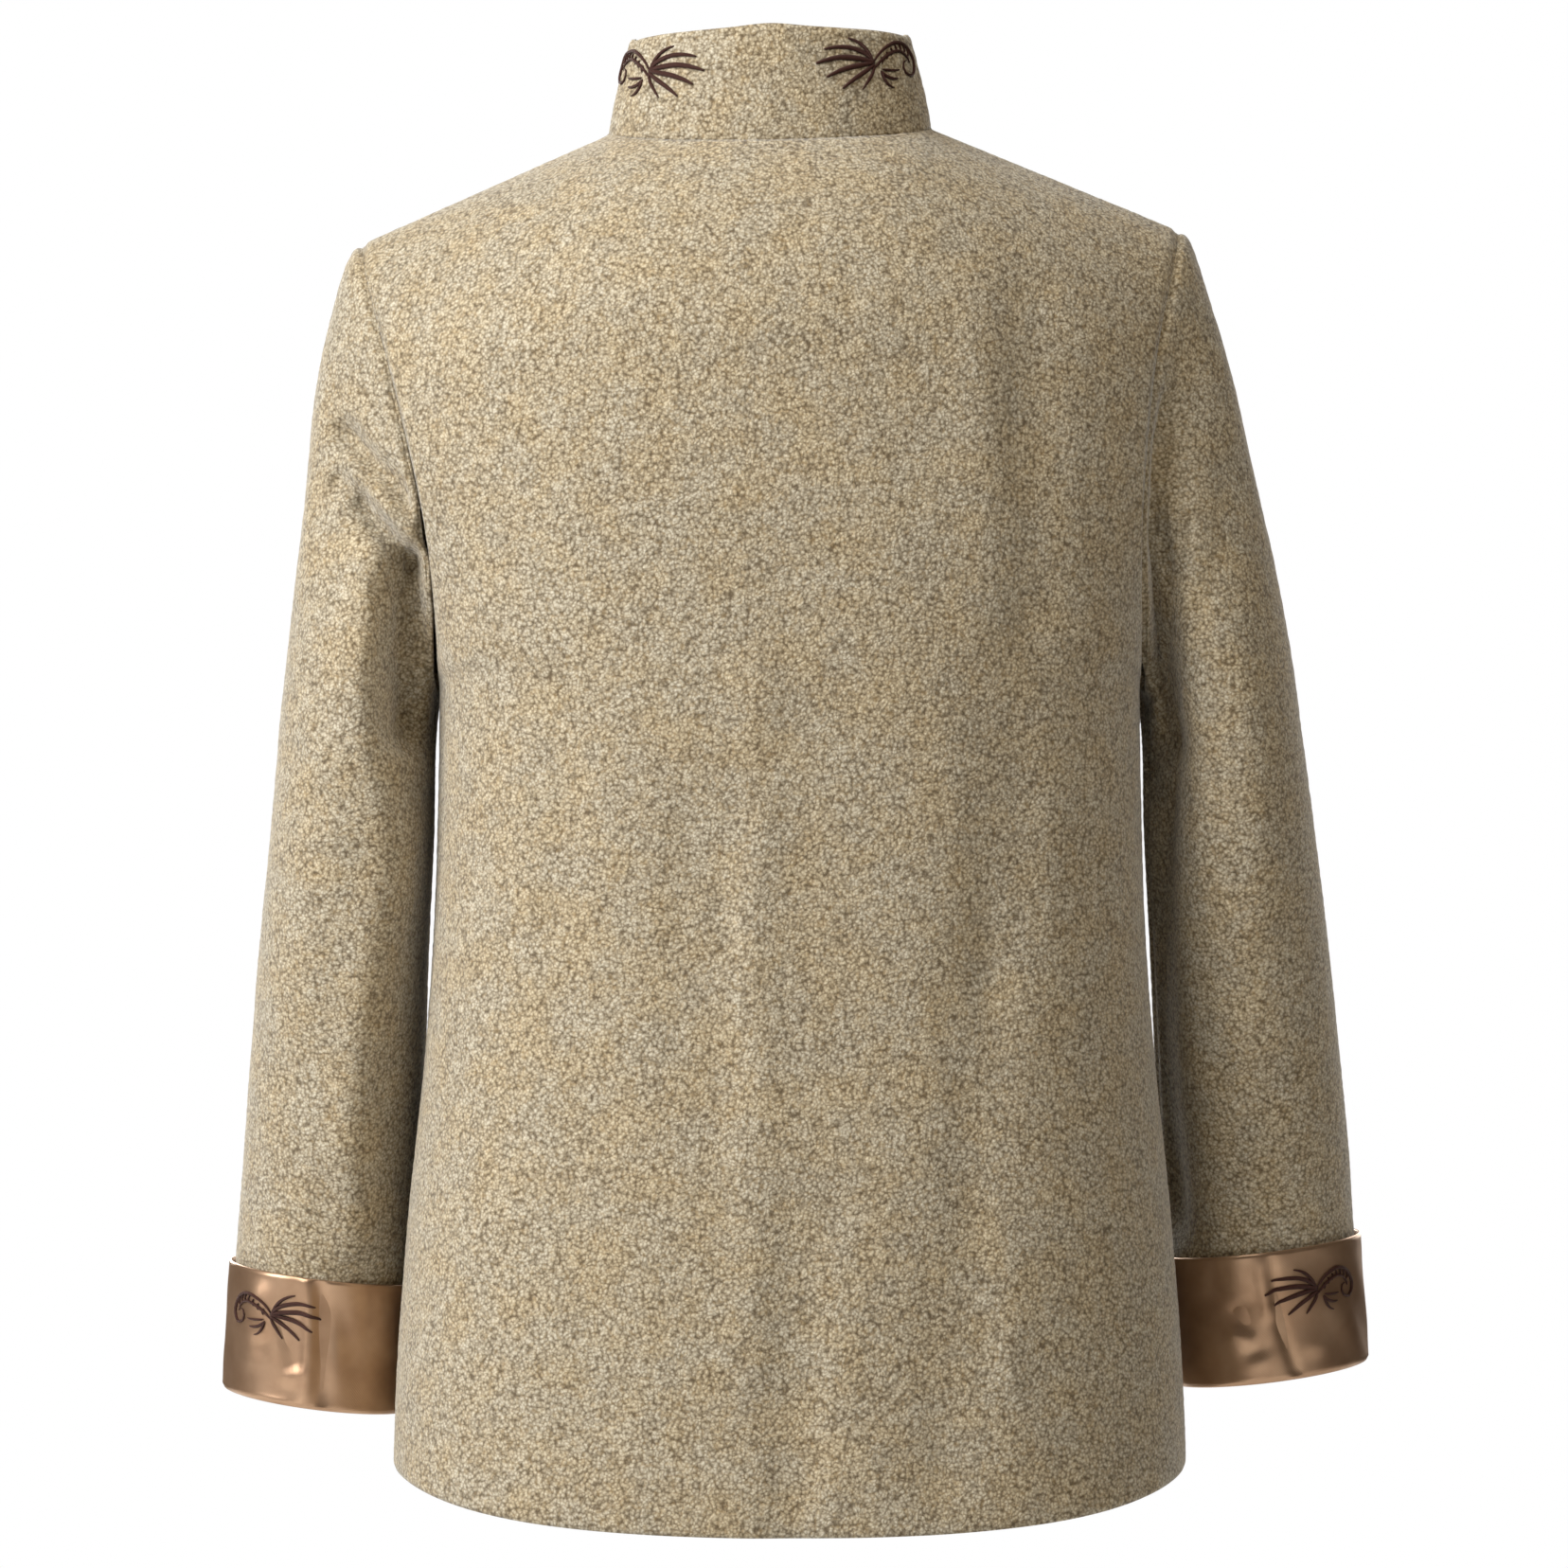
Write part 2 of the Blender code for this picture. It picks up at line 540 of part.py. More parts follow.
def make_collar(material):
    """Stand the collar band on the neck seam, from one front edge round the back to the other."""
    step = 90 / NECK_COLUMNS
    quarter = list(np.arange(0, 180, step)) + [180 - step / 2, 180 - step / 4, 180 - step / 12, 180]
    turns = [-turn for turn in quarter[:0:-1]] + quarter
    outer_rows, inner_rows = [], []
    for i in range(COLLAR_ROWS + 1):
        share = i / COLLAR_ROWS
        outer, inner = [], []
        for turn in turns:
            side = math.copysign(1, turn)
            low = step * math.floor(abs(turn) / step)
            between = (abs(turn) - low) / step
            base = neck_point(low) * (1 - between) + neck_point(low + step) * between
            height = column(COLLAR, COLLAR_TABLE_COLUMNS, "height", abs(turn))
            lean_in = column(COLLAR, COLLAR_TABLE_COLUMNS, "lean_in", abs(turn))
            angle = math.radians(abs(turn))
            depth = NECK_BACK[0] if abs(turn) < 90 else -NECK_FRONT[0]
            away = unit(np.array((math.sin(angle) / NECK_HALF_WIDTH, math.cos(angle) / depth, 0)))
            corner = max(0.0, COLLAR_CORNER - base[0]) if abs(turn) > 90 else 0.0
            height -= COLLAR_CORNER - math.sqrt(COLLAR_CORNER ** 2 - corner ** 2)
            point = base - away * lean_in * share ** 1.2
            point[2] += COLLAR_GAP + height * share
            behind = point - away * COLLAR_WALL
            if abs(turn) == 180:
                point[0] = behind[0] = FRONT_GAP
            mirror = np.array((side, 1, 1))
            outer.append(point * mirror)
            inner.append(behind * mirror)
        outer_rows.append(outer)
        inner_rows.append(inner)
    outer, inner = leaned(outer_rows), leaned(inner_rows)
    return wall_object("collar", outer[:, ::-1], inner[:, ::-1], material)


def front_point(x, level, lift=0.0):
    """Return a point above the left front's surface, as upright coordinates, and the surface's normal."""
    grid = panel_grid(-1, FRONT_COLUMNS)
    def depth(at_x, at_z):
        heights = [np.interp(at_x, row[:, 0], row[:, 2]) for row in grid]
        depths = [np.interp(at_x, row[:, 0], row[:, 1]) for row in grid]
        return float(np.interp(at_z, heights, depths))
    across = (depth(abs(x) + SLOPE_STEP, level) - depth(abs(x), level)) / SLOPE_STEP
    up = (depth(abs(x), level + SLOPE_STEP) - depth(abs(x), level - SLOPE_STEP)) / (2 * SLOPE_STEP)
    normal = unit(np.array((math.copysign(across, x), -1.0, up)))
    return np.array((x, depth(abs(x), level), level)) + normal * lift, normal


def tube_object(name, path, outs, radii, sides, material, tangents=None):
    """Make a closed tube along a path.

    Each point has its way out of the cloth, and its wide and deep radius.
    """
    points, faces = [], []
    if tangents is None:
        tangents = unit(np.gradient(path, axis=0))
    for centre, tangent, out, (wide, deep) in zip(path, tangents, outs, radii):
        out = unit(out - tangent * (out @ tangent))
        across = np.cross(tangent, out)
        for k in range(sides):
            angle = 2 * math.pi * (k + 0.5) / sides
            points.append(centre + across * math.cos(angle) * wide + out * math.sin(angle) * deep)
    for i in range(len(path) - 1):
        for k in range(sides):
            a, b = i * sides + k, i * sides + (k + 1) % sides
            faces.append((a, a + sides, b + sides, b))
    faces.append(tuple(range(sides)))
    faces.append(tuple(range((len(path) - 1) * sides, len(path) * sides))[::-1])
    return mesh_object(name, points, faces, material)


def make_frog(number, level, material):
    """Lay one frog across the centre front: a cord loop on the left, a bar and knot on the right."""
    rest = FROG_CORD + FROG_LIFT
    run_apart = FROG_CORD + FROG_LIFT / 2
    spots = []
    shares = np.linspace(1, 0, FROG_RUN_POINTS)
    for share in shares:
        spots.append((EYE_START + (FROG_LENGTH - EYE_START) * share, run_apart, rest))
    for angle in np.radians(np.linspace(EYE_OPENING, 360 - EYE_OPENING, EYE_POINTS)):
        raised = rest + EYE_RISE * (1 - math.cos(angle)) / 2
        spots.append((EYE_RADIUS * math.cos(angle), EYE_RADIUS * math.sin(angle), raised))
    for share in shares[::-1]:
        spots.append((EYE_START + (FROG_LENGTH - EYE_START) * share, -run_apart, rest))
    path, outs = zip(*[front_point(x, level + z, lift) for x, z, lift in spots])
    tube_object(f"frog_loop_{number}", leaned(path), outs, [(FROG_CORD, FROG_CORD)] * len(path), 6, material)

    ball = KNOT_RADIUS + FROG_LIFT
    sections = [(-FROG_LENGTH, BAR_HALF_WIDTH * 0.8, FROG_CORD, rest)]
    for share in (0.04, 0.35, 0.70, 1.0):
        sections.append((-FROG_LENGTH + (FROG_LENGTH + BAR_END) * share, BAR_HALF_WIDTH, FROG_CORD, rest))
    for place, half_width in NECK_SECTIONS:
        sections.append((place, half_width, NECK_THIN, NECK_THIN + FROG_LIFT))
    for angle in np.radians(KNOT_ANGLES):
        radius = KNOT_RADIUS * math.cos(angle)
        sections.append((KNOT_RADIUS * math.sin(angle), radius, radius, ball))
    path, outs = zip(*[front_point(x, level, lift) for x, _, _, lift in sections])
    radii = [(wide, deep) for _, wide, deep, _ in sections]
    # Every section of the knot stands across the bar, also where the ball rises from its neck
    straight = np.tile(unit(path[-1] - path[0]), (len(path), 1))
    tube_object(f"frog_knot_{number}", leaned(path), outs, radii, 8, material, straight)


def main():
    cloth = make_material("crinkled_cloth", (0.36, 0.25, 0.16), 0.85, 0.3)
    satin = make_material("bronze_satin", (0.16, 0.075, 0.035), 0.35)
    cord = make_material("frog_cord", (0.16, 0.075, 0.035), 0.5)
    make_back(cloth)
    make_front("front_left", True, cloth)
    make_front("front_right", False, cloth)
    make_sleeve("sleeve_left", "left", cloth)
    make_sleeve("sleeve_right", "right", cloth)
    make_cuff("cuff_left", "left", satin)
    make_cuff("cuff_right", "right", satin)
    make_collar(cloth)
    for number, level in enumerate(FROG_LEVELS, 1):
        make_frog(number, level, cord)


for old in list(bpy.data.objects):
    bpy.data.objects.remove(old, do_unlink=True)
COLLECTION = bpy.data.collections.new("stand_collar_jacket")
bpy.context.scene.collection.children.link(COLLECTION)
main()
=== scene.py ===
# Stand-collar jacket in crinkled chenille cloth, seen from behind and held in its worn form.
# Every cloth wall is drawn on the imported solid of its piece, finer, with its creases and its crinkle.
import bpy
import math
import numpy as np
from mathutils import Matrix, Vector, kdtree


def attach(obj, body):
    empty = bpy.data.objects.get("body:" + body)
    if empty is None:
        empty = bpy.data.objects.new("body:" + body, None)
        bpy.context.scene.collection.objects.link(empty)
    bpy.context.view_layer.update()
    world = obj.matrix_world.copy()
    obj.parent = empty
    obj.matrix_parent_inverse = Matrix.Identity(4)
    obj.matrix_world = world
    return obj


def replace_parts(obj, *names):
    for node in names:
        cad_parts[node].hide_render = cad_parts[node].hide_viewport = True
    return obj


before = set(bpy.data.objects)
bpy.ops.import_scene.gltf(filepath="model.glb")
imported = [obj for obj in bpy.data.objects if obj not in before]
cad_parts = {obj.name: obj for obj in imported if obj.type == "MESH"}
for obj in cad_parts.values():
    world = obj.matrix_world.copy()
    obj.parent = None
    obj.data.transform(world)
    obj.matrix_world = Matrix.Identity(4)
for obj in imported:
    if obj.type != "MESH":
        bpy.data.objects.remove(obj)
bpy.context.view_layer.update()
bpy.ops.object.select_all(action="DESELECT")


# small helpers

def unit(v):
    return v / np.maximum(np.linalg.norm(v, axis=-1, keepdims=True), 1e-12)


def ease(t):
    t = np.clip(t, 0, 1)
    return t * t * (3 - 2 * t)


def lengthAlong(grid, axis=0):
    # how far each point lies from the first one, along a path or along one way of a grid
    step = np.linalg.norm(np.diff(grid, axis=axis), axis=-1)
    return np.concatenate([np.zeros_like(step.take([0], axis)), np.cumsum(step, axis=axis)], axis=axis)


def treeOf(points):
    tree = kdtree.KDTree(len(points))
    for i, p in enumerate(points):
        tree.insert(p, i)
    tree.balance()
    return tree


def newPiece(name, points, faces, material):
    mesh = bpy.data.meshes.new(name)
    mesh.from_pydata(np.asarray(points).tolist(), [], faces)
    mesh.update()
    mesh.shade_smooth()
    mesh.materials.append(material)
    piece = bpy.data.objects.new(name, mesh)
    bpy.context.collection.objects.link(piece)
    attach(piece, "root")
    return piece


# reading the solids

def mergedNode(name):
    # points and triangles of a CAD node, with its doubles merged
    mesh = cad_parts[name].data.copy()
    working = bpy.data.objects.new("working", mesh)
    bpy.context.collection.objects.link(working)
    bpy.context.view_layer.objects.active = working
    working.select_set(True)
    bpy.ops.object.mode_set(mode="EDIT")
    bpy.ops.mesh.select_all(action="SELECT")
    bpy.ops.mesh.remove_doubles(threshold=0.00001)
    bpy.ops.object.mode_set(mode="OBJECT")
    points = np.array([v.co for v in mesh.vertices], float)
    triangles = [tuple(p.vertices) for p in mesh.polygons]
    bpy.data.objects.remove(working, do_unlink=True)
    bpy.data.meshes.remove(mesh)
    return points, triangles


def acrossWall(points, wall):
    # the point straight across the wall from each point
    tree = treeOf(points)
    found = []
    for i, p in enumerate(points):
        near = [(abs(d - wall), k) for _, k, d in tree.find_range(p, wall * 1.05) if k != i]
        found.append(min(near)[1])
    return np.array(found)


def wallGrid(name, wall, closed, axis, isBase):
    # the outer and inner points of a solid's wall as rows and columns, from its lower edge up
    points, triangles = mergedNode(name)
    partner = acrossWall(points, wall)
    low, high = np.array(axis[0]), np.array(axis[1])
    share = np.clip((points - low) @ (high - low) / ((high - low) @ (high - low)), 0, 1)
    nearest = low + share[:, None] * (high - low)
    isOuter = ((points - points[partner]) * (points - nearest)).sum(axis=1) > 0
    links = {i: set() for i in range(len(points)) if isOuter[i]}
    uses = {}
    for triangle in triangles:
        isWhole = all(isOuter[k] for k in triangle)
        for a, b in zip(triangle, triangle[1:] + triangle[:1]):
            if isOuter[a] and isOuter[b]:
                links[a].add(b)
                links[b].add(a)
            if isWhole:
                uses[frozenset((a, b))] = uses.get(frozenset((a, b)), 0) + 1
    border = set().union(*[pair for pair, count in uses.items() if count == 1])
    row = {i for i in border if isBase(points[i])}
    ordered, seen = [], set()
    while row:
        ordered.append(walk(row, links, closed, ordered[-1] if ordered else None, points))
        seen |= row
        row = set().union(*[links[i] for i in row]) - seen
    order = np.array(ordered)
    return points[order], points[partner[order]]


def walk(row, links, closed, below, points):
    # put one row's points in order, in step with the row below
    def apart(i, j):
        return np.linalg.norm(points[i] - points[j])

    if closed:
        start = min(row, key=lambda i: apart(i, below[0]) if below else -points[i][0])
    else:
        ends = [i for i in row if len(links[i] & row) == 1]
        start = min(ends, key=lambda i: below[0] not in links[i] if below else points[i][0])
    path, left = [start], set(row) - {start}
    while left:
        following = [i for i in links[path[-1]] if i in left]
        if closed and len(path) == 1 and below:
            following = sorted(following, key=lambda i: apart(i, below[1]))
        elif closed and len(path) == 1:
            following = sorted(following, key=lambda i: -points[i][1])
        path.append(following[0])
        left.remove(following[0])
    if closed and below:
        shifts = [np.roll(path, s) for s in (-1, 0, 1)]
        path = min(shifts, key=lambda p: np.linalg.norm(points[p] - points[below], axis=1).sum()).tolist()
    return path


# smooth finer rows

def refine(grid, steps, closed=False, corners=()):
    # lay points between the rows on a smooth curve; steps is how many for each gap
    # a corner is a row and how sharply each column turns there, 0 to 1
    count = len(grid)
    before = np.roll(grid, 1, axis=0)
    after = np.roll(grid, -1, axis=0)
    slope = (after - before) / 2
    if not closed:
        slope[0] = (4 * grid[1] - 3 * grid[0] - grid[2]) / 2
        slope[-1] = (3 * grid[-1] - 4 * grid[-2] + grid[-3]) / 2
    slopeIn, slopeOut = slope.copy(), slope.copy()
    for row, sharp in corners:
        sharp = np.asarray(sharp)[:, None]
        slopeIn[row] += sharp * (grid[row] - grid[row - 1] - slope[row])
        slopeOut[row] += sharp * (grid[row + 1] - grid[row] - slope[row])
    fine = []
    gaps = count if closed else count - 1
    for i in range(gaps):
        p, q = grid[i], grid[(i + 1) % count]
        for k in range(steps[i]):
            t = k / steps[i]
            fine.append((2 * t**3 - 3 * t**2 + 1) * p + (t**3 - 2 * t**2 + t) * slopeOut[i]
                        + (3 * t**2 - 2 * t**3) * q + (t**3 - t**2) * slopeIn[(i + 1) % count])
    if not closed:
        fine.append(grid[-1])
    return np.array(fine)


def refineBoth(grid, rowSteps, columnSteps, closed=False, rowCorners=(), columnCorners=()):
    turned = refine(grid.transpose(1, 0, 2), columnSteps, closed, columnCorners).transpose(1, 0, 2)
    return refine(turned, rowSteps, False, rowCorners)


def normalsOf(grid, closed=False):
    if closed:
        across = np.roll(grid, -1, axis=1) - np.roll(grid, 1, axis=1)
    else:
        across = np.gradient(grid, axis=1)
    return unit(np.cross(across, np.gradient(grid, axis=0)))


def quads(index, order=(0, 1, 2, 3)):
    # faces of a grid of point numbers
    corners = (index[:-1, :-1], index[:-1, 1:], index[1:, 1:], index[1:, :-1])
    return np.stack([corners[k] for k in order], -1).reshape(-1, 4).tolist()


def numbered(rows, columns, isRound, isRing=False, start=0):
    # point numbers as a grid, with the first column, and in a ring the first row, named again at the end
    index = start + np.arange(rows * columns).reshape(rows, columns)
    if isRound:
        index = np.hstack([index, index[:, :1]])
    return np.vstack([index, index[:1]]) if isRing else index


def closedWall(outer, inner, closed=False):
    # one closed wall between a fine outer and a coarser inner sheet
    points = np.concatenate([outer.reshape(-1, 3), inner.reshape(-1, 3)])
    out = numbered(*outer.shape[:2], closed)
    into = numbered(*inner.shape[:2], closed, start=out.max() + 1)
    faces = quads(out) + quads(into, (0, 3, 2, 1))
    wide, tall = [(a - 1) // (b - 1) for a, b in zip(out.shape[::-1], into.shape[::-1])]
    edges = [(out[0], into[0], wide, 1), (out[-1], into[-1], wide, -1)]
    if not closed:
        edges += [(out[:, 0], into[:, 0], tall, -1), (out[:, -1], into[:, -1], tall, 1)]
    for outPath, inPath, ratio, way in edges:
        outPath, inPath, half = outPath.tolist(), inPath.tolist(), ratio // 2
        for k in range(len(inPath) - 1):
            fan = outPath[k * ratio:(k + 1) * ratio + 1]
            made = [(fan[i], inPath[k if i < half else k + 1], fan[i + 1]) for i in range(ratio)]
            made.insert(half, (fan[half], inPath[k], inPath[k + 1]))
            faces += [face[::way] for face in made]
    return points, faces


# materials

def setInputs(node, values):
    for key, value in values.items():
        node.inputs[key].default_value = value


def nodeOf(tree, kind, values=None, **settings):
    made = tree.nodes.new(kind)
    for key, value in settings.items():
        setattr(made, key, value)
    setInputs(made, values or {})
    return made


def ramp(tree, source, stops):
    made = nodeOf(tree, "ShaderNodeValToRGB")
    points, stops = made.color_ramp.elements, list(stops)
    while len(points) < len(stops):
        points.new(0.5)
    for point, (place, colour) in zip(points, stops):
        point.position = place
        point.color = (*colour, 1)
    tree.links.new(source, made.inputs["Fac"])
    return made.outputs["Color"]


def maths(tree, operation, first, second=None, third=None):
    made = nodeOf(tree, "ShaderNodeMath", operation=operation)
    for place, value in enumerate((first, second, third)):
        if value is None:
            continue
        if isinstance(value, (int, float)):
            made.inputs[place].default_value = value
        else:
            tree.links.new(value, made.inputs[place])
    return made.outputs[0]


def mixed(tree, amount, first, second, blend="MIX"):
    made = nodeOf(tree, "ShaderNodeMix", data_type="RGBA", blend_type=blend)
    for place, value in ((0, amount), (6, first), (7, second)):
        if isinstance(value, (int, float)):
            made.inputs[place].default_value = value
        elif isinstance(value, tuple):
            made.inputs[place].default_value = (*value, 1)
        else:
            tree.links.new(value, made.inputs[place])
    return made.outputs[2]


def bumped(tree, shader, height, strength, depth):
    bump = nodeOf(tree, "ShaderNodeBump", {"Strength": strength, "Distance": depth})
    tree.links.new(height, bump.inputs["Height"])
    tree.links.new(bump.outputs["Normal"], shader.inputs["Normal"])


def startMaterial(name):
    material = bpy.data.materials.new(name)
    material.use_nodes = True
    tree = material.node_tree
    return material, tree, tree.nodes["Principled BSDF"]


clothLook = {
    "grainSize": 0.0018,      # the small curls of pile, metres
    "wrinkleSize": 0.0066,    # the crinkle between them
    "driftSize": 0.65,        # the waves that pull both out of line, a share of the crinkle's scale
    "warp": 0.0030,           # how far they pull, metres
    "patchSize": 0.022,       # patches where the ochre shows more
    "fibreScale": 1500.0, "threadScale": 420.0,
    "grainHeight": 0.52, "wrinkleHeight": 0.10, "fibreHeight": 0.50,
    "grainSteepness": 1.12, "wrinkleSteepness": 4.0, "wrinkleRoundness": 0.3,
    "crinkleShadeTone": 0.11,       # how much lighter the raised crinkle is: painted highlight on its tops and painted shade in its troughs
    "darker": 0.135,
    # from the gaps between the curls to their tops: the fibres' own tones, and painted shade that darkens the
    # bump's hollows
    "gap": (0.130, 0.098, 0.060), "low": (0.270, 0.226, 0.156),
    "middle": (0.441, 0.386, 0.288), "top": (0.690, 0.640, 0.520),
    "tones": (0.19, 0.37, 0.54, 0.80),      # where these four colours lie
    "greyPatch": (0.98, 0.99, 1.0), "ochrePatch": (1.0, 0.95, 0.85), "patchRange": (0.40, 0.62),
    "ochreThread": (0.40, 0.285, 0.135), "threadRange": (0.55, 0.68), "threadShare": 0.26,
    "bump": 0.8, "bumpDepth": 0.0008,
    "roughness": 0.82, "specular": 0.25,
    "sheen": 0.35, "sheenRoughness": 0.45, "sheenTint": (0.93, 0.96, 1.0, 1),
}


def crinkledCloth():
    look = clothLook
    material, tree, shader = startMaterial("crinkledCloth")
    place = nodeOf(tree, "ShaderNodeTexCoord").outputs["Object"]
    grainScale, wrinkleScale = 1 / look["grainSize"], 1 / look["wrinkleSize"]
    driftScale = look["driftSize"] / look["wrinkleSize"]
    drift = nodeOf(tree, "ShaderNodeTexNoise", {"Scale": driftScale, "Detail": 2.0})
    warped = nodeOf(tree, "ShaderNodeVectorMath", {1: (look["warp"],) * 3}, operation="MULTIPLY_ADD")
    tree.links.new(drift.outputs["Color"], warped.inputs[0])
    tree.links.new(place, warped.inputs[2])
    grain = nodeOf(tree, "ShaderNodeTexVoronoi", {"Scale": grainScale}, feature="F1")
    wrinkle = nodeOf(tree, "ShaderNodeTexVoronoi", {"Scale": wrinkleScale}, feature="DISTANCE_TO_EDGE")
    fibre = nodeOf(tree, "ShaderNodeTexNoise", {"Scale": look["fibreScale"], "Detail": 2.0})
    thread = nodeOf(tree, "ShaderNodeTexNoise", {"Scale": look["threadScale"], "Detail": 1.0})
    patch = nodeOf(tree, "ShaderNodeTexNoise",
                   {"Scale": 1 / look["patchSize"], "Detail": 4.0, "Roughness": 0.6})
    for texture in (grain, wrinkle, fibre, thread):
        tree.links.new(warped.outputs[0], texture.inputs["Vector"])
    for texture in (drift, patch):
        tree.links.new(place, texture.inputs["Vector"])
    steep = maths(tree, "MULTIPLY", grain.outputs["Distance"], look["grainSteepness"])
    grainTop = maths(tree, "SUBTRACT", 1.0, steep)
    steep = maths(tree, "MULTIPLY", wrinkle.outputs["Distance"], look["wrinkleSteepness"])
    wrinkleTop = maths(tree, "SMOOTH_MIN", steep, 1.0, look["wrinkleRoundness"])
    height = maths(tree, "MULTIPLY", grainTop, look["grainHeight"])
    height = maths(tree, "MULTIPLY_ADD", wrinkleTop, look["wrinkleHeight"], height)
    height = maths(tree, "MULTIPLY_ADD", fibre.outputs["Fac"], look["fibreHeight"], height)
    # the crinkle's height from the mesh, painted lighter on its raised tops and darker in its troughs:
    # painted shade
    crinkleShade = nodeOf(tree, "ShaderNodeAttribute", attribute_name="crinkle").outputs["Fac"]
    darker = maths(tree, "SUBTRACT", height, look["darker"])
    tone = maths(tree, "MULTIPLY_ADD", crinkleShade, look["crinkleShadeTone"], darker)
    names = ("gap", "low", "middle", "top")
    # darker where the bump is low: the fibres' own tones with painted shade in the hollows
    colour = ramp(tree, tone, [(at, look[name]) for at, name in zip(look["tones"], names)])
    threads = ramp(tree, thread.outputs["Fac"], zip(look["threadRange"], ((0, 0, 0), (1, 1, 1))))
    some = maths(tree, "MULTIPLY", threads, look["threadShare"])
    colour = mixed(tree, some, colour, look["ochreThread"])
    tints = zip(look["patchRange"], (look["greyPatch"], look["ochrePatch"]))
    colour = mixed(tree, 1.0, colour, ramp(tree, patch.outputs["Fac"], tints), "MULTIPLY")
    bumped(tree, shader, height, look["bump"], look["bumpDepth"])
    tree.links.new(colour, shader.inputs["Base Color"])
    setInputs(shader, {"Roughness": look["roughness"], "Specular IOR Level": look["specular"],
                       "Sheen Weight": look["sheen"], "Sheen Roughness": look["sheenRoughness"],
                       "Sheen Tint": look["sheenTint"]})
    return material


satinLook = {
    "base": (0.660, 0.450, 0.300), "deep": (0.260, 0.138, 0.072), "metallic": 0.76,
    "roughness": 0.33, "smoother": 0.08, "roughShare": 0.16,      # the cloud lies from smoother to rougher
    "coat": 0.10, "coatRoughness": 0.40,
    "weaveScale": 420.0, "cloudScale": 38.0, "cloudHeight": 1.5, "bump": 0.12, "bumpDepth": 0.0002,
}


def bronzeSatin():
    look = satinLook
    material, tree, shader = startMaterial("bronzeSatin")
    flat = nodeOf(tree, "ShaderNodeUVMap", uv_map="flat").outputs["UV"]
    weave = nodeOf(tree, "ShaderNodeTexWave", {"Scale": look["weaveScale"], "Distortion": 1.2, "Detail": 1.0},
                   bands_direction="DIAGONAL")
    cloud = nodeOf(tree, "ShaderNodeTexNoise", {"Scale": look["cloudScale"], "Detail": 3.0})
    for texture in (weave, cloud):
        tree.links.new(flat, texture.inputs["Vector"])
    cloudy = cloud.outputs["Fac"]
    height = maths(tree, "MULTIPLY_ADD", cloudy, look["cloudHeight"], weave.outputs["Fac"])
    bumped(tree, shader, height, look["bump"], look["bumpDepth"])
    tree.links.new(mixed(tree, cloudy, look["base"], look["deep"]), shader.inputs["Base Color"])
    rough = maths(tree, "MULTIPLY_ADD", cloudy, look["roughShare"], look["roughness"] - look["smoother"])
    tree.links.new(rough, shader.inputs["Roughness"])
    setInputs(shader, {"Metallic": look["metallic"], "Coat Weight": look["coat"],
                       "Coat Roughness": look["coatRoughness"]})
    return material


threadLook = {"bump": 0.6, "bumpDepth": 0.0003, "sheen": 0.05, "specular": 0.30}


def twistedThread(name, light, dark, across, roughness):
    # floss or cord: fine strands, by the piece's own map, whose second number runs along it
    look = threadLook
    material, tree, shader = startMaterial(name)
    flat = nodeOf(tree, "ShaderNodeUVMap", uv_map="flat").outputs["UV"]
    strands = nodeOf(tree, "ShaderNodeTexWave", {"Scale": across, "Distortion": 0.6, "Detail": 1.0},
                     bands_direction="DIAGONAL")
    tree.links.new(flat, strands.inputs["Vector"])
    tree.links.new(mixed(tree, strands.outputs["Fac"], dark, light), shader.inputs["Base Color"])
    bumped(tree, shader, strands.outputs["Fac"], look["bump"], look["bumpDepth"])
    setInputs(shader, {"Roughness": roughness, "Sheen Weight": look["sheen"],
                       "Specular IOR Level": look["specular"]})
    return material


cloth = crinkledCloth()
satin = bronzeSatin()
floss = twistedThread("embroideryFloss", (0.072, 0.022, 0.014), (0.022, 0.007, 0.005), 1250.0, 0.60)
cord = twistedThread("frogCord", (0.200, 0.095, 0.045), (0.080, 0.034, 0.014), 390.0, 0.40)
print("materials made")


# the crinkle and the creases

def wander(p, size, seed):
    # three smooth waves of about that size at each point, different in each direction
    rng = np.random.default_rng(seed)
    result = np.zeros_like(p)
    for _ in range(5):
        way = unit(rng.normal(size=3))
        push = unit(rng.normal(size=3))
        wave = np.sin(p @ way * (2 * math.pi / (size * rng.uniform(0.7, 1.5))) + rng.uniform(0, 6.28))
        result += wave[..., None] * push
    return result / 5


cellKeys = np.array((73856093, 19349663, 83492791))     # primes that number the cells
spotKeys = (2654435761, 40503, 1597334677)              # and place a point in each


def cells(p, size):
    # how far each point is from the border between its cell and the next, 0 to about 1
    q = p / size
    base = np.floor(q).astype(np.int64)
    nearest = np.full(q.shape[:-1], 9.0)
    second = nearest.copy()
    for step in np.ndindex(3, 3, 3):
        cell = base + np.array(step) - 1
        key = np.bitwise_xor.reduce(cell * cellKeys, axis=-1)
        spot = np.stack([((key * prime) >> 7) % 1024 / 1024.0 for prime in spotKeys], -1)
        gap = np.linalg.norm(cell + spot - q, axis=-1)
        second = np.where(gap < second, gap, second)
        swap = second < nearest
        nearest, second = np.where(swap, second, nearest), np.where(swap, nearest, second)
    return second - nearest


crinkleShape = {
    "size": 0.0072, "height": 0.00042, "wander": 0.0034, "wanderSize": 1.6,
    "border": 0.42, "roundness": 0.7,       # how wide the troughs are, and how round the tops
    "fineSize": 0.55, "coarse": 0.68, "fine": 0.32, "level": 0.55,
    "swell": 0.0005, "swellSize": 0.045,
}


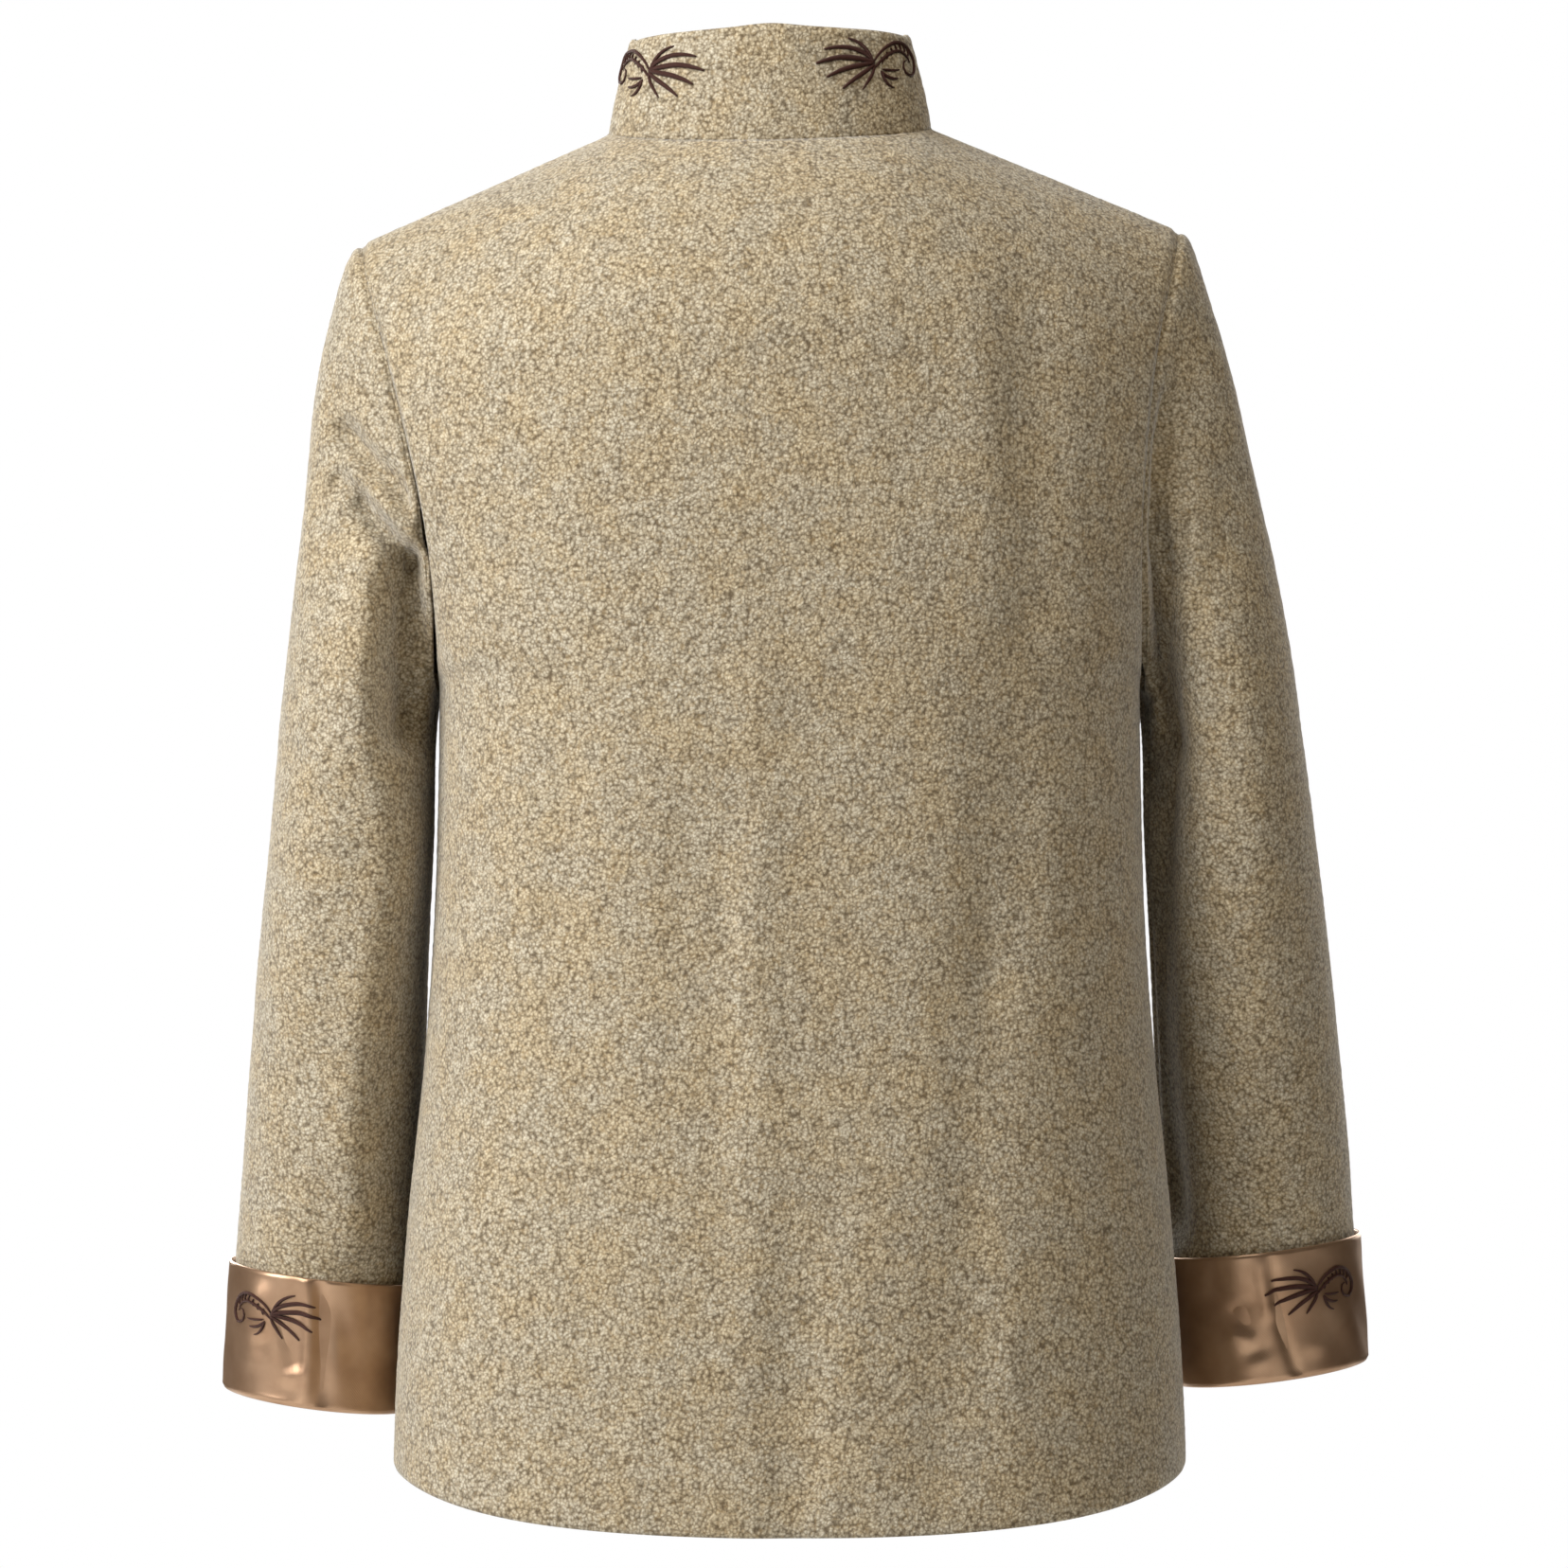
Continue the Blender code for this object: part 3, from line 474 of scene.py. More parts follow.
def crinkled(points, normals, calm):
    # raise the crinkle; calm is how much of it stays at each point
    shape = crinkleShape
    p = points + wander(points, shape["size"] * shape["wanderSize"], 3) * shape["wander"]
    coarse, fine = [np.clip(cells(p + shift, size) / shape["border"], 0, 1) ** shape["roundness"]
                    for shift, size in ((0, shape["size"]), (0.5, shape["size"] * shape["fineSize"]))]
    raised = shape["coarse"] * coarse + shape["fine"] * fine
    swell = wander(points, shape["swellSize"], 8)[..., 0]
    amount = ((raised - shape["level"]) * shape["height"] + swell * shape["swell"]) * calm
    return points + normals * amount[..., None], raised


creaseShape = {
    "sideways": 0.25,       # how little a fold is pushed sideways, so that a deep one at a side stays open
    "facing": 2.2,          # how soon it is full on a side that turns round
    "sway": 0.05, "swayTurn": 3.0, "swayShift": 90,      # how it winds along its run
    "taper": 0.15,          # the share of its run that each end takes to run out
}


def creased(points, normals, folds, facing, fade):
    # push the given troughs and ridges into the side that faces a way, 1 for the back or -1 for the front
    shape = creaseShape
    moved = points.copy()
    flat = points[..., (0, 2)]
    turned = np.clip(normals[..., 1] * facing * shape["facing"], 0, 1)
    ways = unit(normals * (shape["sideways"], 1.0, shape["sideways"]))
    for x0, z0, x1, z1, halfWidth, depth in np.array(folds) / 1000:
        start, run = np.array((x0, z0)), np.array((x1 - x0, z1 - z0))
        share = (flat - start) @ run / (run @ run)
        sway = shape["sway"] * np.sin(share * shape["swayTurn"] + x0 * shape["swayShift"])
        nearest = start + share.clip(0, 1)[..., None] * run + sway[..., None] * np.array((-run[1], run[0]))
        distance = np.linalg.norm(flat - nearest, axis=-1)
        ends = ease(np.minimum(share + shape["taper"], 1 + shape["taper"] - share) / (2 * shape["taper"]))
        push = depth * np.exp(-(distance / halfWidth) ** 2) * ends * turned * fade
        moved -= ways * push[..., None]
    return moved


def alongRows(grid):
    # how far each point lies from the first and the last column, and from the first and last row
    side, up = lengthAlong(grid, 1), lengthAlong(grid)
    return side, side[:, -1:] - side, up, up[-1:] - up


seamShape = {
    "seamDepth": 0.0030, "seamWidth": 0.0026, "edgeDepth": 0.0009, "edgeWidth": 0.0014,
    "turnDepth": 0.0026, "turnWidth": 0.0009,
    "calmWidth": 0.007, "calmest": 0.25,      # how far from a seam the crinkle is whole, and what stays on it
    "seamShadeReach": 1.3, "toneLeftOnSeam": 0.35,       # the same for the crinkle's lighter tone, as a share of the seam's width: painted shade along the seams
}


def dip(distance, kind):
    # how deep the outer surface lies at a distance from a sewn seam or a folded edge
    return seamShape[kind + "Depth"] * np.exp(-(distance / seamShape[kind + "Width"]) ** 2)


def calmNear(distance):
    # how much of the crinkle stays near a seam or an edge
    least = seamShape["calmest"]
    return least + (1 - least) * ease(distance / seamShape["calmWidth"])


def uvFor(piece, flat):
    # the piece's own map, from a place in metres for each point
    layer = piece.data.uv_layers.new(name="flat")
    index = np.zeros(len(piece.data.loops), np.int32)
    piece.data.loops.foreach_get("vertex_index", index)
    layer.data.foreach_set("uv", np.asarray(flat, np.float32)[index].ravel())


def clothPiece(name, smooth, inner, normals, sunk, calm, fromSeam, closed):
    # sink the seams into the smooth sheet, raise its crinkle and close the wall to the inner sheet
    surface, raised = crinkled(smooth - normals * sunk[..., None], normals, calm)
    # the crinkle's lighter tone fades towards the seams: painted shade along them
    least, reach = seamShape["toneLeftOnSeam"], seamShape["seamWidth"] * seamShape["seamShadeReach"]
    raised = raised * (least + (1 - least) * ease(fromSeam / reach))
    points, faces = closedWall(surface, inner, closed)
    piece = newPiece(name, points, faces, cloth)
    # the crinkle's height, which the cloth paints lighter on the tops and darker in the troughs and along the
    # seams: painted shade
    shade = piece.data.attributes.new("crinkle", "FLOAT", "POINT")
    values = np.concatenate([raised.ravel(), np.full(inner.shape[0] * inner.shape[1], 0.5)])
    shade.data.foreach_set("value", values.astype(np.float32))
    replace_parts(piece, name)
    print(name, "made")


# the cloth walls

clothWall = 0.0025
leanOfBody = -0.0105              # the hanging body lies this far to the wearer's right of the neck
leanFrom, leanTo = -0.07, -0.30   # the heights between which it comes to lie so
shoulderRoll = 0.0170             # how far the shoulders drop for each metre to the wearer's left
farAway = 9.0                     # a distance that no seam reaches

panelShape = {
    "skirtRows": 12, "topRows": 13,      # the solid's rows below and above the underarm
    "skirtSteps": 16, "topSteps": 8, "columnSteps": 8,
    "neckFromCentre": 6,                 # the solid's columns from the centre to the neck's corner
    "foldFade": 0.024,
}


def rightWayRound(outer, inner, closed=False):
    if (normalsOf(outer, closed) * (outer - inner)).sum() < 0:
        outer, inner = outer[:, ::-1], inner[:, ::-1]
        if closed:
            outer, inner = np.roll(outer, 1, axis=1), np.roll(inner, 1, axis=1)
    return outer, inner


def panelSheets(name):
    # a panel's fine outer sheet, its inner sheet at half the fineness, its centre column and its sides
    shape = panelShape
    axis = ((leanOfBody, 0, -0.9), (leanOfBody, 0, -0.25))
    outer, inner = wallGrid(name, clothWall, False, axis, lambda p: p[2] < -0.705)
    outer, inner = rightWayRound(outer, inner)
    last = outer.shape[1] - 1
    centre = int(np.argmin(np.abs(outer[0, :, 0] - leanOfBody)))
    sides = [c for c in (0, last) if c != centre]
    necks = [centre + k for k in (-shape["neckFromCentre"], shape["neckFromCentre"]) if 0 < centre + k < last]
    neckSharp = np.exp(-(np.arange(len(outer))[::-1] / 1.2) ** 2)

    def fine(grid, coarser):
        steps = shape["columnSteps"] // coarser
        rowSteps = ([shape["skirtSteps"] // coarser] * shape["skirtRows"]
                    + [shape["topSteps"] // coarser] * shape["topRows"])
        place = np.arange(last * steps + 1) / steps
        sideSharp = sum(np.exp(-(place - c) ** 2) for c in sides)
        return refineBoth(grid, rowSteps, [steps] * last, False, [(shape["skirtRows"], sideSharp)],
                          [(c, neckSharp) for c in necks])

    return fine(outer, 1), fine(inner, 2), centre, sides


def panelPiece(name, folds, facing):
    # returns the fine outer sheet, the same with its folds, and the solid's side columns
    shape = panelShape
    outer, inner, centre, sides = panelSheets(name)
    fromFirst, fromLast, fromHem, fromTop = alongRows(outer)
    fromSide = np.minimum.reduce([fromFirst if c == 0 else fromLast for c in sides])
    steps, reach = shape["columnSteps"], shape["neckFromCentre"] * shape["columnSteps"]
    atNeck = np.abs(np.arange(outer.shape[1]) - centre * steps) <= reach
    fromNeck = np.where(atNeck, fromTop, farAway)
    fromSeam = np.minimum(fromSide, np.where(atNeck, farAway, fromTop))
    fromEdge = fromHem
    if len(sides) == 1:
        fromEdge = np.minimum(fromHem, fromFirst if centre == 0 else fromLast)
    fade = ease(np.minimum(fromSeam, fromNeck) / shape["foldFade"])
    smooth = creased(outer, normalsOf(outer), folds, facing, fade)
    innerSmooth = creased(inner, normalsOf(inner), folds, facing, fade[::2, ::2])
    sunk = dip(fromSeam, "seam") + dip(fromEdge, "edge")
    calm = calmNear(np.minimum(fromSeam, fromEdge))
    clothPiece(name, smooth, innerSmooth, normalsOf(smooth), sunk, calm, fromSeam, False)
    return outer, smooth, sides


backFolds = (
    # millimetres: x and z where it starts and ends, half its width, its depth; a minus depth is a ridge
    (-28.5, -588, -32, -735, 11, -1.8),
    (25.8, -410, 20.5, -444, 6, 1.3),
    (2, -330, 26, -418, 12, 1.3),
    (-121, -100, -119, -330, 17, -2.4),
    (-121, -668, -131, -628, 8, -1.2),
    (92, -520, 101, -690, 16, 1.2),
    (118, -300, 104, -430, 12, 1.8),
)
frontFolds = (
    (86, -300, 61, -470, 14, 4.2),
    (112, -450, 100, -700, 15, 4.6),
    (49, -560, 53, -735, 12, 3.4),
    (140, -170, 118, -300, 13, 3.6),
    (-120, -300, -90, -450, 13, 4.6),
    (-94, -470, -107, -715, 16, 5),
    (-63, -610, -60, -735, 11, -2.6),
    (-152, -180, -126, -290, 12, 3.2),
)

hands = {"left": 1, "right": -1}      # the wearer's left is on the side of larger x
backOuter = panelPiece("back", backFolds, 1)[0]
fronts = {side: panelPiece("front_" + side, frontFolds, -1) for side in hands}


# the sleeves

sleeveShape = {
    "armRows": 12, "capRows": 12, "columns": 26,
    "armSteps": 14, "capSteps": 8, "columnSteps": 8,
    "settle": 0.020,             # how far below the armhole the sleeve is drawn onto its edge
    "foldFade": 0.010,
    "underCuff": 0.062,          # the length that the cuff covers, which is left smooth
}

sleeveFolds = {
    "left": {
        1: ((228, -158, 191, -208, 6.2, 10), (234, -188, 216, -200, 7, 5),
            (218, -198, 186, -240, 6.6, 12), (223, -178, 187, -229, 5, -4.5),
            (197, -232, 187, -330, 12.5, 22),
            (212, -232, 204, -380, 12, -8), (204, -380, 215, -610, 15, -9),
            (262, -330, 236, -372, 12, 2.2), (286, -470, 248, -520, 13, 2),
            (240, -540, 270, -610, 13, -1.8)),
        -1: ((240, -260, 212, -330, 13, 5), (276, -400, 236, -450, 14, 5.2),
             (270, -470, 232, -486, 11, 4.4), (288, -560, 250, -590, 13, 3.4)),
    },
    "right": {
        1: ((-207, -150, -210, -330, 12, 17), (-210, -330, -220, -600, 13, 17),
            (-240, -260, -252, -560, 16, -2),
            (-246, -170, -226, -262, 10, 2.2), (-290, -420, -250, -470, 13, 2),
            (-248, -520, -282, -600, 13, -1.8)),
        -1: ((-262, -255, -232, -325, 13, 5), (-292, -410, -250, -445, 14, 5.2),
             (-288, -490, -246, -500, 11, 4.4), (-300, -570, -262, -610, 13, 3.4)),
    },
}


def armholeRing(side):
    # the armhole's points, from the shoulder tip down the back edge and up the front edge
    frontOuter, _, frontSides = fronts[side]
    backSide = 0 if (backOuter[0, 0, 0] - backOuter[0, -1, 0]) * hands[side] > 0 else -1
    frontSide = 0 if frontSides[0] == 0 else -1
    underarm = panelShape["skirtRows"] * panelShape["skirtSteps"]
    return np.concatenate([backOuter[:underarm - 1:-1, backSide], frontOuter[underarm + 1:-1, frontSide]])


def sleevePiece(side):
    # returns the sleeve's fine outer sheet without its folds
    shape, hand, ring = sleeveShape, hands[side], armholeRing(side)
    axis = ((leanOfBody + hand * 0.2545, -0.072, -0.69), (leanOfBody + hand * 0.20, -0.01, -0.16))
    outer, inner = wallGrid("sleeve_" + side, clothWall, True, axis, lambda p: p[2] < -0.6)
    outer, inner = rightWayRound(outer, inner, True)
    start = int(np.argmin(np.linalg.norm(outer[-1] - ring[0], axis=1)))
    outer, inner = np.roll(outer, -start, axis=1), np.roll(inner, -start, axis=1)
    steps = shape["columnSteps"]
    if np.linalg.norm(outer[-1, 1] - ring[steps]) > np.linalg.norm(outer[-1, -1] - ring[steps]):
        ring = np.roll(ring[::-1], 1, axis=0)

    def fine(grid, coarser):
        rowSteps = ([shape["armSteps"] // coarser] * shape["armRows"]
                    + [shape["capSteps"] // coarser] * shape["capRows"])
        return refineBoth(grid, rowSteps, [steps // coarser] * shape["columns"], True)

    gap = outer[-1] - ring[::steps]
    outer, inner = fine(outer, 1), fine(inner, 2)
    # draw the top edge onto the panels' fine edges, so that the seam's gap stays even
    place = np.arange(len(ring)) / steps
    around = np.append(gap, gap[:1], axis=0)
    evenGap = np.stack([np.interp(place, np.arange(len(around)), around[:, k]) for k in range(3)], 1)
    delta = ring + evenGap - outer[-1]
    _, _, fromEnd, fromTop = alongRows(outer)
    weight = np.exp(-(fromTop / shape["settle"]) ** 2)
    outer = outer + weight[..., None] * delta
    inner = inner + weight[::2, ::2, None] * delta[::2]

    smooth, innerSmooth = outer, inner
    fade = ease(fromTop / shape["foldFade"]) * ease((fromEnd - shape["underCuff"]) / 0.03)
    for facing, folds in sleeveFolds[side].items():
        smooth = creased(smooth, normalsOf(outer, True), folds, facing, fade)
        innerSmooth = creased(innerSmooth, normalsOf(inner, True), folds, facing, fade[::2, ::2])
    along = lengthAlong(outer, 1)
    under = outer.shape[1] // 2
    fromUnder = np.abs(along - along[:, under:under + 1])
    fromSeam = np.minimum(fromTop, fromUnder)
    covered = ease((fromEnd - shape["underCuff"]) / 0.006)
    sunk = dip(fromTop, "seam") + dip(fromTop, "turn") + 0.5 * dip(fromUnder, "seam") * covered
    clothPiece("sleeve_" + side, smooth, innerSmooth, normalsOf(smooth, True), sunk,
               calmNear(fromSeam) * covered, fromSeam, True)
    return outer


sleeves = {side: sleevePiece(side) for side in hands}


# the collar

collarShape = {
    "wall": 0.003, "steps": 12, "calm": 0.9,
    "bed": 0.0009, "lip": 0.0030,      # how far its lower edge sinks into the neck seam, outside and inside
    "halfWidth": 0.0867, "seamDepth": 0.0055,
    "behind": (0.055, 0.011), "before": (0.078, 0.050),      # the neck's reach and its drop, back and front
}


def onNeckSeam(p):
    # whether a point of the collar lies on its lower edge
    shape = collarShape
    reach, drop = shape["behind" if p[1] > 0 else "before"]
    share = math.hypot(p[0] / shape["halfWidth"], p[1] / reach)
    level = -drop * abs(p[1]) / reach / share
    return abs(p[2] - (level - shoulderRoll * p[0])) < shape["seamDepth"]


def collarPiece():
    shape = collarShape
    outer, inner = wallGrid("collar", shape["wall"], False, ((0, -0.01, -0.06), (0, -0.01, 0.07)), onNeckSeam)
    outer, inner = rightWayRound(outer, inner)

    def fine(grid, steps):
        return refineBoth(grid, [steps] * (len(grid) - 1), [steps] * (grid.shape[1] - 1))

    outer, inner = fine(outer, shape["steps"]), fine(inner, shape["steps"] // 2)
    inner[0, :, 2] -= shape["lip"]
    outer[0, :, 2] -= shape["bed"]
    fromFirst, fromLast, _, fromTop = alongRows(outer)
    fromEdge = np.minimum.reduce([fromFirst, fromLast, fromTop])
    clothPiece("collar", outer, inner, normalsOf(outer), dip(fromEdge, "edge"),
               shape["calm"] * calmNear(fromEdge), farAway, False)
    return outer


collarOuter = collarPiece()


# the cuffs

def outwards(points, faces):
    # the faces, turned to face out of the closed body they make
    points = np.asarray(points)
    volume = 0.0
    for face in faces:
        for k in range(1, len(face) - 1):
            volume += points[face[0]] @ np.cross(points[face[k]], points[face[k + 1]])
    return faces if volume > 0 else [face[::-1] for face in faces]


cuffShape = {
    "height": 0.069, "gap": 0.0005, "wall": 0.0016, "turnIn": 0.018,
    "faceRows": 41, "middleRow": 20,      # the rows of the section that show outside, and the middle one
    "swell": 0.0014, "swellSize": 0.027, "deepest": 0.0009,
    "round": 0.36, "down": 0.095, "area": 0.033,
}

cuffDents = {
    # troughs and ridges where the satin wrinkles, as the folds above, for the back and for the front
    "left": {
        1: ((254.5, -600, 248.5, -694, 3.6, -2.4), (248.5, -600, 242.5, -694, 4.2, 2.4),
            (264, -640, 256, -668, 7, 2.2), (276, -652, 262, -684, 8, 1.4),
            (279, -622, 284, -668, 8, -1.6), (232, -626, 226, -690, 7, 1.6)),
        -1: ((250, -620, 243, -690, 5, 1.3), (281, -640, 268, -660, 7, 1.4)),
    },
    "right": {
        1: ((-272, -606, -287, -684, 3.4, 2), (-252, -632, -262, -662, 8, 2),
            (-266, -606, -268, -640, 4, -1.4), (-247, -650, -262, -654, 5, -1.2),
            (-300, -625, -296, -660, 7, -1.4)),
        -1: ((-258, -615, -262, -680, 5, 1.3), (-292, -630, -280, -652, 7, 1.4)),
    },
}


def cuffSection():
    # the J that holds the sleeve's end, as points out of the sleeve and up from its end
    shape = cuffShape
    gap, wall, height = shape["gap"], shape["wall"], shape["height"]
    inside = -clothWall - gap
    corners = (
        # how far out, how far up, and the number of steps to the next corner
        (gap + 0.0018, 0.0000, 20), (gap + 0.0026, 0.034, 20), (gap + 0.0030, height - 0.0008, 2),
        (gap + 0.0022, height, 2), (gap + 0.0014, height - 0.0008, 10), (gap + 0.0008, 0.034, 10),
        (gap, 0.001, 2), (gap - 0.0004, -gap, 2), (inside + 0.0004, -gap, 2), (inside, 0.001, 6),
        (inside, shape["turnIn"], 2), (inside - wall, shape["turnIn"], 6), (inside - wall, 0.0, 3),
        (inside - 0.0006, -gap - wall, 3), (gap + 0.0006, -gap - wall, 3),
    )
    section = []
    for k, (out, up, steps) in enumerate(corners):
        nextOut, nextUp, _ = corners[(k + 1) % len(corners)]
        for i in range(steps):
            t = i / steps
            section.append((out + (nextOut - out) * t, up + (nextUp - up) * t))
    return section


def cuffPiece(side):
    shape = cuffShape
    sleeve = sleeves[side]
    rowRise = (sleeve[sleeveShape["armSteps"], :, 2] - sleeve[0, :, 2]).mean() / sleeveShape["armSteps"]
    rows = []
    section = cuffSection()
    for out, up in section:
        k = up / rowRise
        low = int(max(0, min(math.floor(k), len(sleeve) - 2)))
        ring = sleeve[low] + (sleeve[low + 1] - sleeve[low]) * (k - low)
        away = np.cross(np.roll(ring, -1, axis=0) - np.roll(ring, 1, axis=0), (0.0, 0.0, 1.0))
        away = unit(away) * (1 if (away * (ring - ring.mean(axis=0))).sum() > 0 else -1)
        rows.append(ring + away * out)
    grid = np.array(rows)
    face, middle = shape["faceRows"], shape["middleRow"]
    outside = grid[:face]
    normals = normalsOf(outside, True)
    if (normals[middle] * (outside[middle] - outside[middle].mean(axis=0))).sum() < 0:
        normals = -normals
    ends = np.sin(np.linspace(0, math.pi, face))[:, None] ** 0.5
    moved = outside
    for facing, dents in cuffDents[side].items():
        moved = creased(moved, normals, dents, facing, 0.35 + 0.65 * ends)
    swell = wander(outside, shape["swellSize"], 21)[..., 0] * shape["swell"] * ends
    moved = moved + normals * np.maximum(swell, -shape["deepest"])[..., None]
    grid[:face] = moved
    columns = grid.shape[1]
    faces = quads(numbered(len(grid), columns, True, True))
    points = grid.reshape(-1, 3)
    piece = newPiece("cuff_" + side, points, outwards(points, faces), satin)
    around = np.linspace(0, shape["round"], columns, endpoint=False)
    down = np.cumsum([0] + [math.dist(a, b) for a, b in zip(section, section[1:])])
    uvFor(piece, np.stack(np.meshgrid(around, down), -1).reshape(-1, 2))
    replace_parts(piece, "cuff_" + side)
    print("cuff_" + side, "made")
    return moved


cuffs = {side: cuffPiece(side) for side in hands}


# places on a smooth sheet

def surfaceOf(grid, startColumn, lift):
    # returns a way to find points on a sheet from metres along it, from a column, and metres up it
    along = lengthAlong(grid[len(grid) // 2])
    along -= along[startColumn]
    rises, normals = lengthAlong(grid), normalsOf(grid)

    def place(across, up):
        column = np.interp(across, along, np.arange(len(along)))
        j = int(min(column, grid.shape[1] - 2))
        rise = rises[:, j]
        row = np.interp(up, rise, np.arange(len(rise)))
        i = int(min(row, len(grid) - 2))
        s, t = column - j, row - i
        corners = [(i + a, j + b, (t if a else 1 - t) * (s if b else 1 - s)) for a in (0, 1) for b in (0, 1)]
        point = sum(grid[a, b] * w for a, b, w in corners)
        normal = unit(sum(normals[a, b] * w for a, b, w in corners))
        return point + normal * lift, normal

    return place


def smoothPath(points, count):
    # a smooth curve through the points, with count even places on it
    points = np.asarray(points, float)[:, None, :]
    if len(points) == 2:
        fine = points[0] + (points[1] - points[0]) * np.linspace(0, 1, 20)[:, None]
    else:
        fine = refine(points, [12] * (len(points) - 1))[:, 0]
    length = lengthAlong(fine)
    even = np.linspace(0, length[-1], count)
    return np.stack([np.interp(even, length, fine[:, k]) for k in range(fine.shape[1])], 1)


def tube(path, outs, wide, deep, sides, closed=False):
    # a closed tube of flattened section round a path, and a place in metres for each point
    path, outs = np.asarray(path), np.asarray(outs)
    if closed:
        tangents = unit(np.roll(path, -1, axis=0) - np.roll(path, 1, axis=0))
    else:
        tangents = unit(np.gradient(path, axis=0))
    outs = unit(outs - tangents * (outs * tangents).sum(axis=1, keepdims=True))
    across = np.cross(tangents, outs)
    length = lengthAlong(path)
    points, flat = [], []
    for i in range(len(path)):
        for k in range(sides):
            angle = 2 * math.pi * k / sides
            aside, up = across[i] * math.cos(angle) * wide[i], outs[i] * math.sin(angle) * deep[i]
            points.append(path[i] + aside + up)
            flat.append((k / sides * 4 * wide[i], length[i]))
    index = numbered(len(path), sides, True, closed)
    faces = quads(index)
    for row in () if closed else (0, -1):
        points.append(path[row])
        flat.append((0, length[row]))
        tip = len(points) - 1
        for a, b in zip(index[row, :-1].tolist(), index[row, 1:].tolist()):
            faces.append((a, b, tip) if row else (a, tip, b))
    return points, outwards(points, faces), flat


def joinedPiece(name, parts, material):
    points, faces, flat = [], [], []
    for partPoints, partFaces, partFlat in parts:
        start = len(points)
        points += [tuple(p) for p in partPoints]
        faces += [tuple(start + i for i in face) for face in partFaces]
        flat += partFlat
    piece = newPiece(name, points, faces, material)
    uvFor(piece, flat)
    return piece


# the embroidery: a plume of long strokes and a banded scroll, in this design's own layout

stitchShape = {
    "lift": 0.0005, "depth": 0.0009, "pointsEach": 22, "sides": 8,
    "taperFrom": 0.06, "taperOver": 0.90, "narrowest": 0.03, "flatter": 0.7,
    "besideCollar": 40, "besideCuff": 6,      # columns away, to see which way a sheet runs
}

plume = (
    # strokes from root to tip in millimetres, along and up, and half the widest width
    (((0, 0), (8, 7), (19, 10), (31, 9)), 1.4),
    (((0, 0), (10, 3), (22, 4), (36, 1)), 1.6),
    (((0, 0), (10, -1), (20, -3), (30, -7)), 1.5),
    (((0, -1), (7, -5), (14, -9), (21, -14)), 1.3),
    (((1, 1), (4, 7), (9, 12), (16, 15)), 1.1),
    (((0, -1), (2, -6), (5, -10), (9, -15)), 1.0),
)
scroll = (
    (((0, 1), (-8, 8), (-19, 11), (-30, 7), (-35, -2), (-30, -9), (-23, -7), (-22, -2), (-26, 0)), 1.1),
    (((0, -3), (-8, 3), (-18, 6), (-26, 3), (-29, -2)), 1.0),
    (((-5, 3), (-6, 1), (-5, -1)), 0.6),
    (((-9, 6), (-10, 4), (-9, 1.6)), 0.6),
    (((-13, 8), (-14, 6), (-13, 3.6)), 0.6),
    (((-17, 9.6), (-18, 7.4), (-17, 5)), 0.6),
    (((-21, 9.6), (-22, 7.4), (-21, 5)), 0.6),
    (((-25, 8.4), (-26, 6), (-24.6, 3.8)), 0.6),
    (((-29, 6.4), (-29.6, 3.6), (-27.4, 1.6)), 0.6),
    (((-4, -5), (-9, -9), (-16, -10)), 1.0),
    (((-4, -5), (-7, -12), (-12, -15)), 0.9),
    (((-5, -4), (-12, -5), (-18, -5)), 0.8),
)


def embroidery(name, place, along, up, way, size):
    shape = stitchShape
    parts = []
    for strokes in (plume, scroll):
        for points, halfWidth in strokes:
            path = smoothPath(points, shape["pointsEach"]) * 0.001 * size
            found = [place(along + way * x, up + y) for x, y in path]
            share = np.linspace(0, 1, len(path)) ** 0.8
            taper = np.sin(math.pi * (shape["taperFrom"] + shape["taperOver"] * share))
            taper = np.sqrt(np.clip(taper, shape["narrowest"], 1))
            wide = halfWidth * 0.001 * size * taper
            deep = np.minimum(wide, shape["depth"]) * (shape["flatter"] + (1 - shape["flatter"]) * taper)
            parts.append(tube([p for p, _ in found], [n for _, n in found], wide, deep, shape["sides"]))
    return joinedPiece(name, parts, floss)


collarBackColumn = collarOuter.shape[1] // 2
collarPlace = surfaceOf(collarOuter, collarBackColumn, stitchShape["lift"])
beside = collarBackColumn + stitchShape["besideCollar"]
toLeft = 1 if collarOuter[0, -1, 0] > 0 or collarOuter[0, beside, 0] > 0 else -1
embroidery("embroidery_collar_left", collarPlace, toLeft * 0.070, 0.037, -toLeft, 0.95)
embroidery("embroidery_collar_right", collarPlace, -toLeft * 0.059, 0.040, toLeft, 0.95)
for side, x, up in (("left", 0.2700, 0.047), ("right", -0.2960, 0.046)):
    # start the sheet at the side next to the body, so that the motif crosses no join
    outside, middle = cuffs[side], cuffShape["middleRow"]
    nearBody = int(np.argmin(outside[middle][:, 0] * hands[side]))
    rolled = np.roll(outside, -nearBody, axis=1)
    rolled = np.concatenate([rolled, rolled[:, :1]], axis=1)
    if (normalsOf(rolled)[middle] * (rolled[middle] - rolled[middle].mean(axis=0))).sum() < 0:
        rolled = rolled[:, ::-1]
    ring = rolled[middle]
    behind = np.where(ring[:, 1] > ring[:, 1].mean(), np.abs(ring[:, 0] - x), farAway)
    root, beside = int(np.argmin(behind)), stitchShape["besideCuff"]
    place = surfaceOf(rolled, root, stitchShape["lift"])
    toBody = 1 if abs(ring[root + beside, 0]) < abs(ring[root - beside, 0]) else -1
    embroidery("embroidery_cuff_" + side, place, 0.0, up, toBody, 0.85)
print("embroidery made")


# the frogs

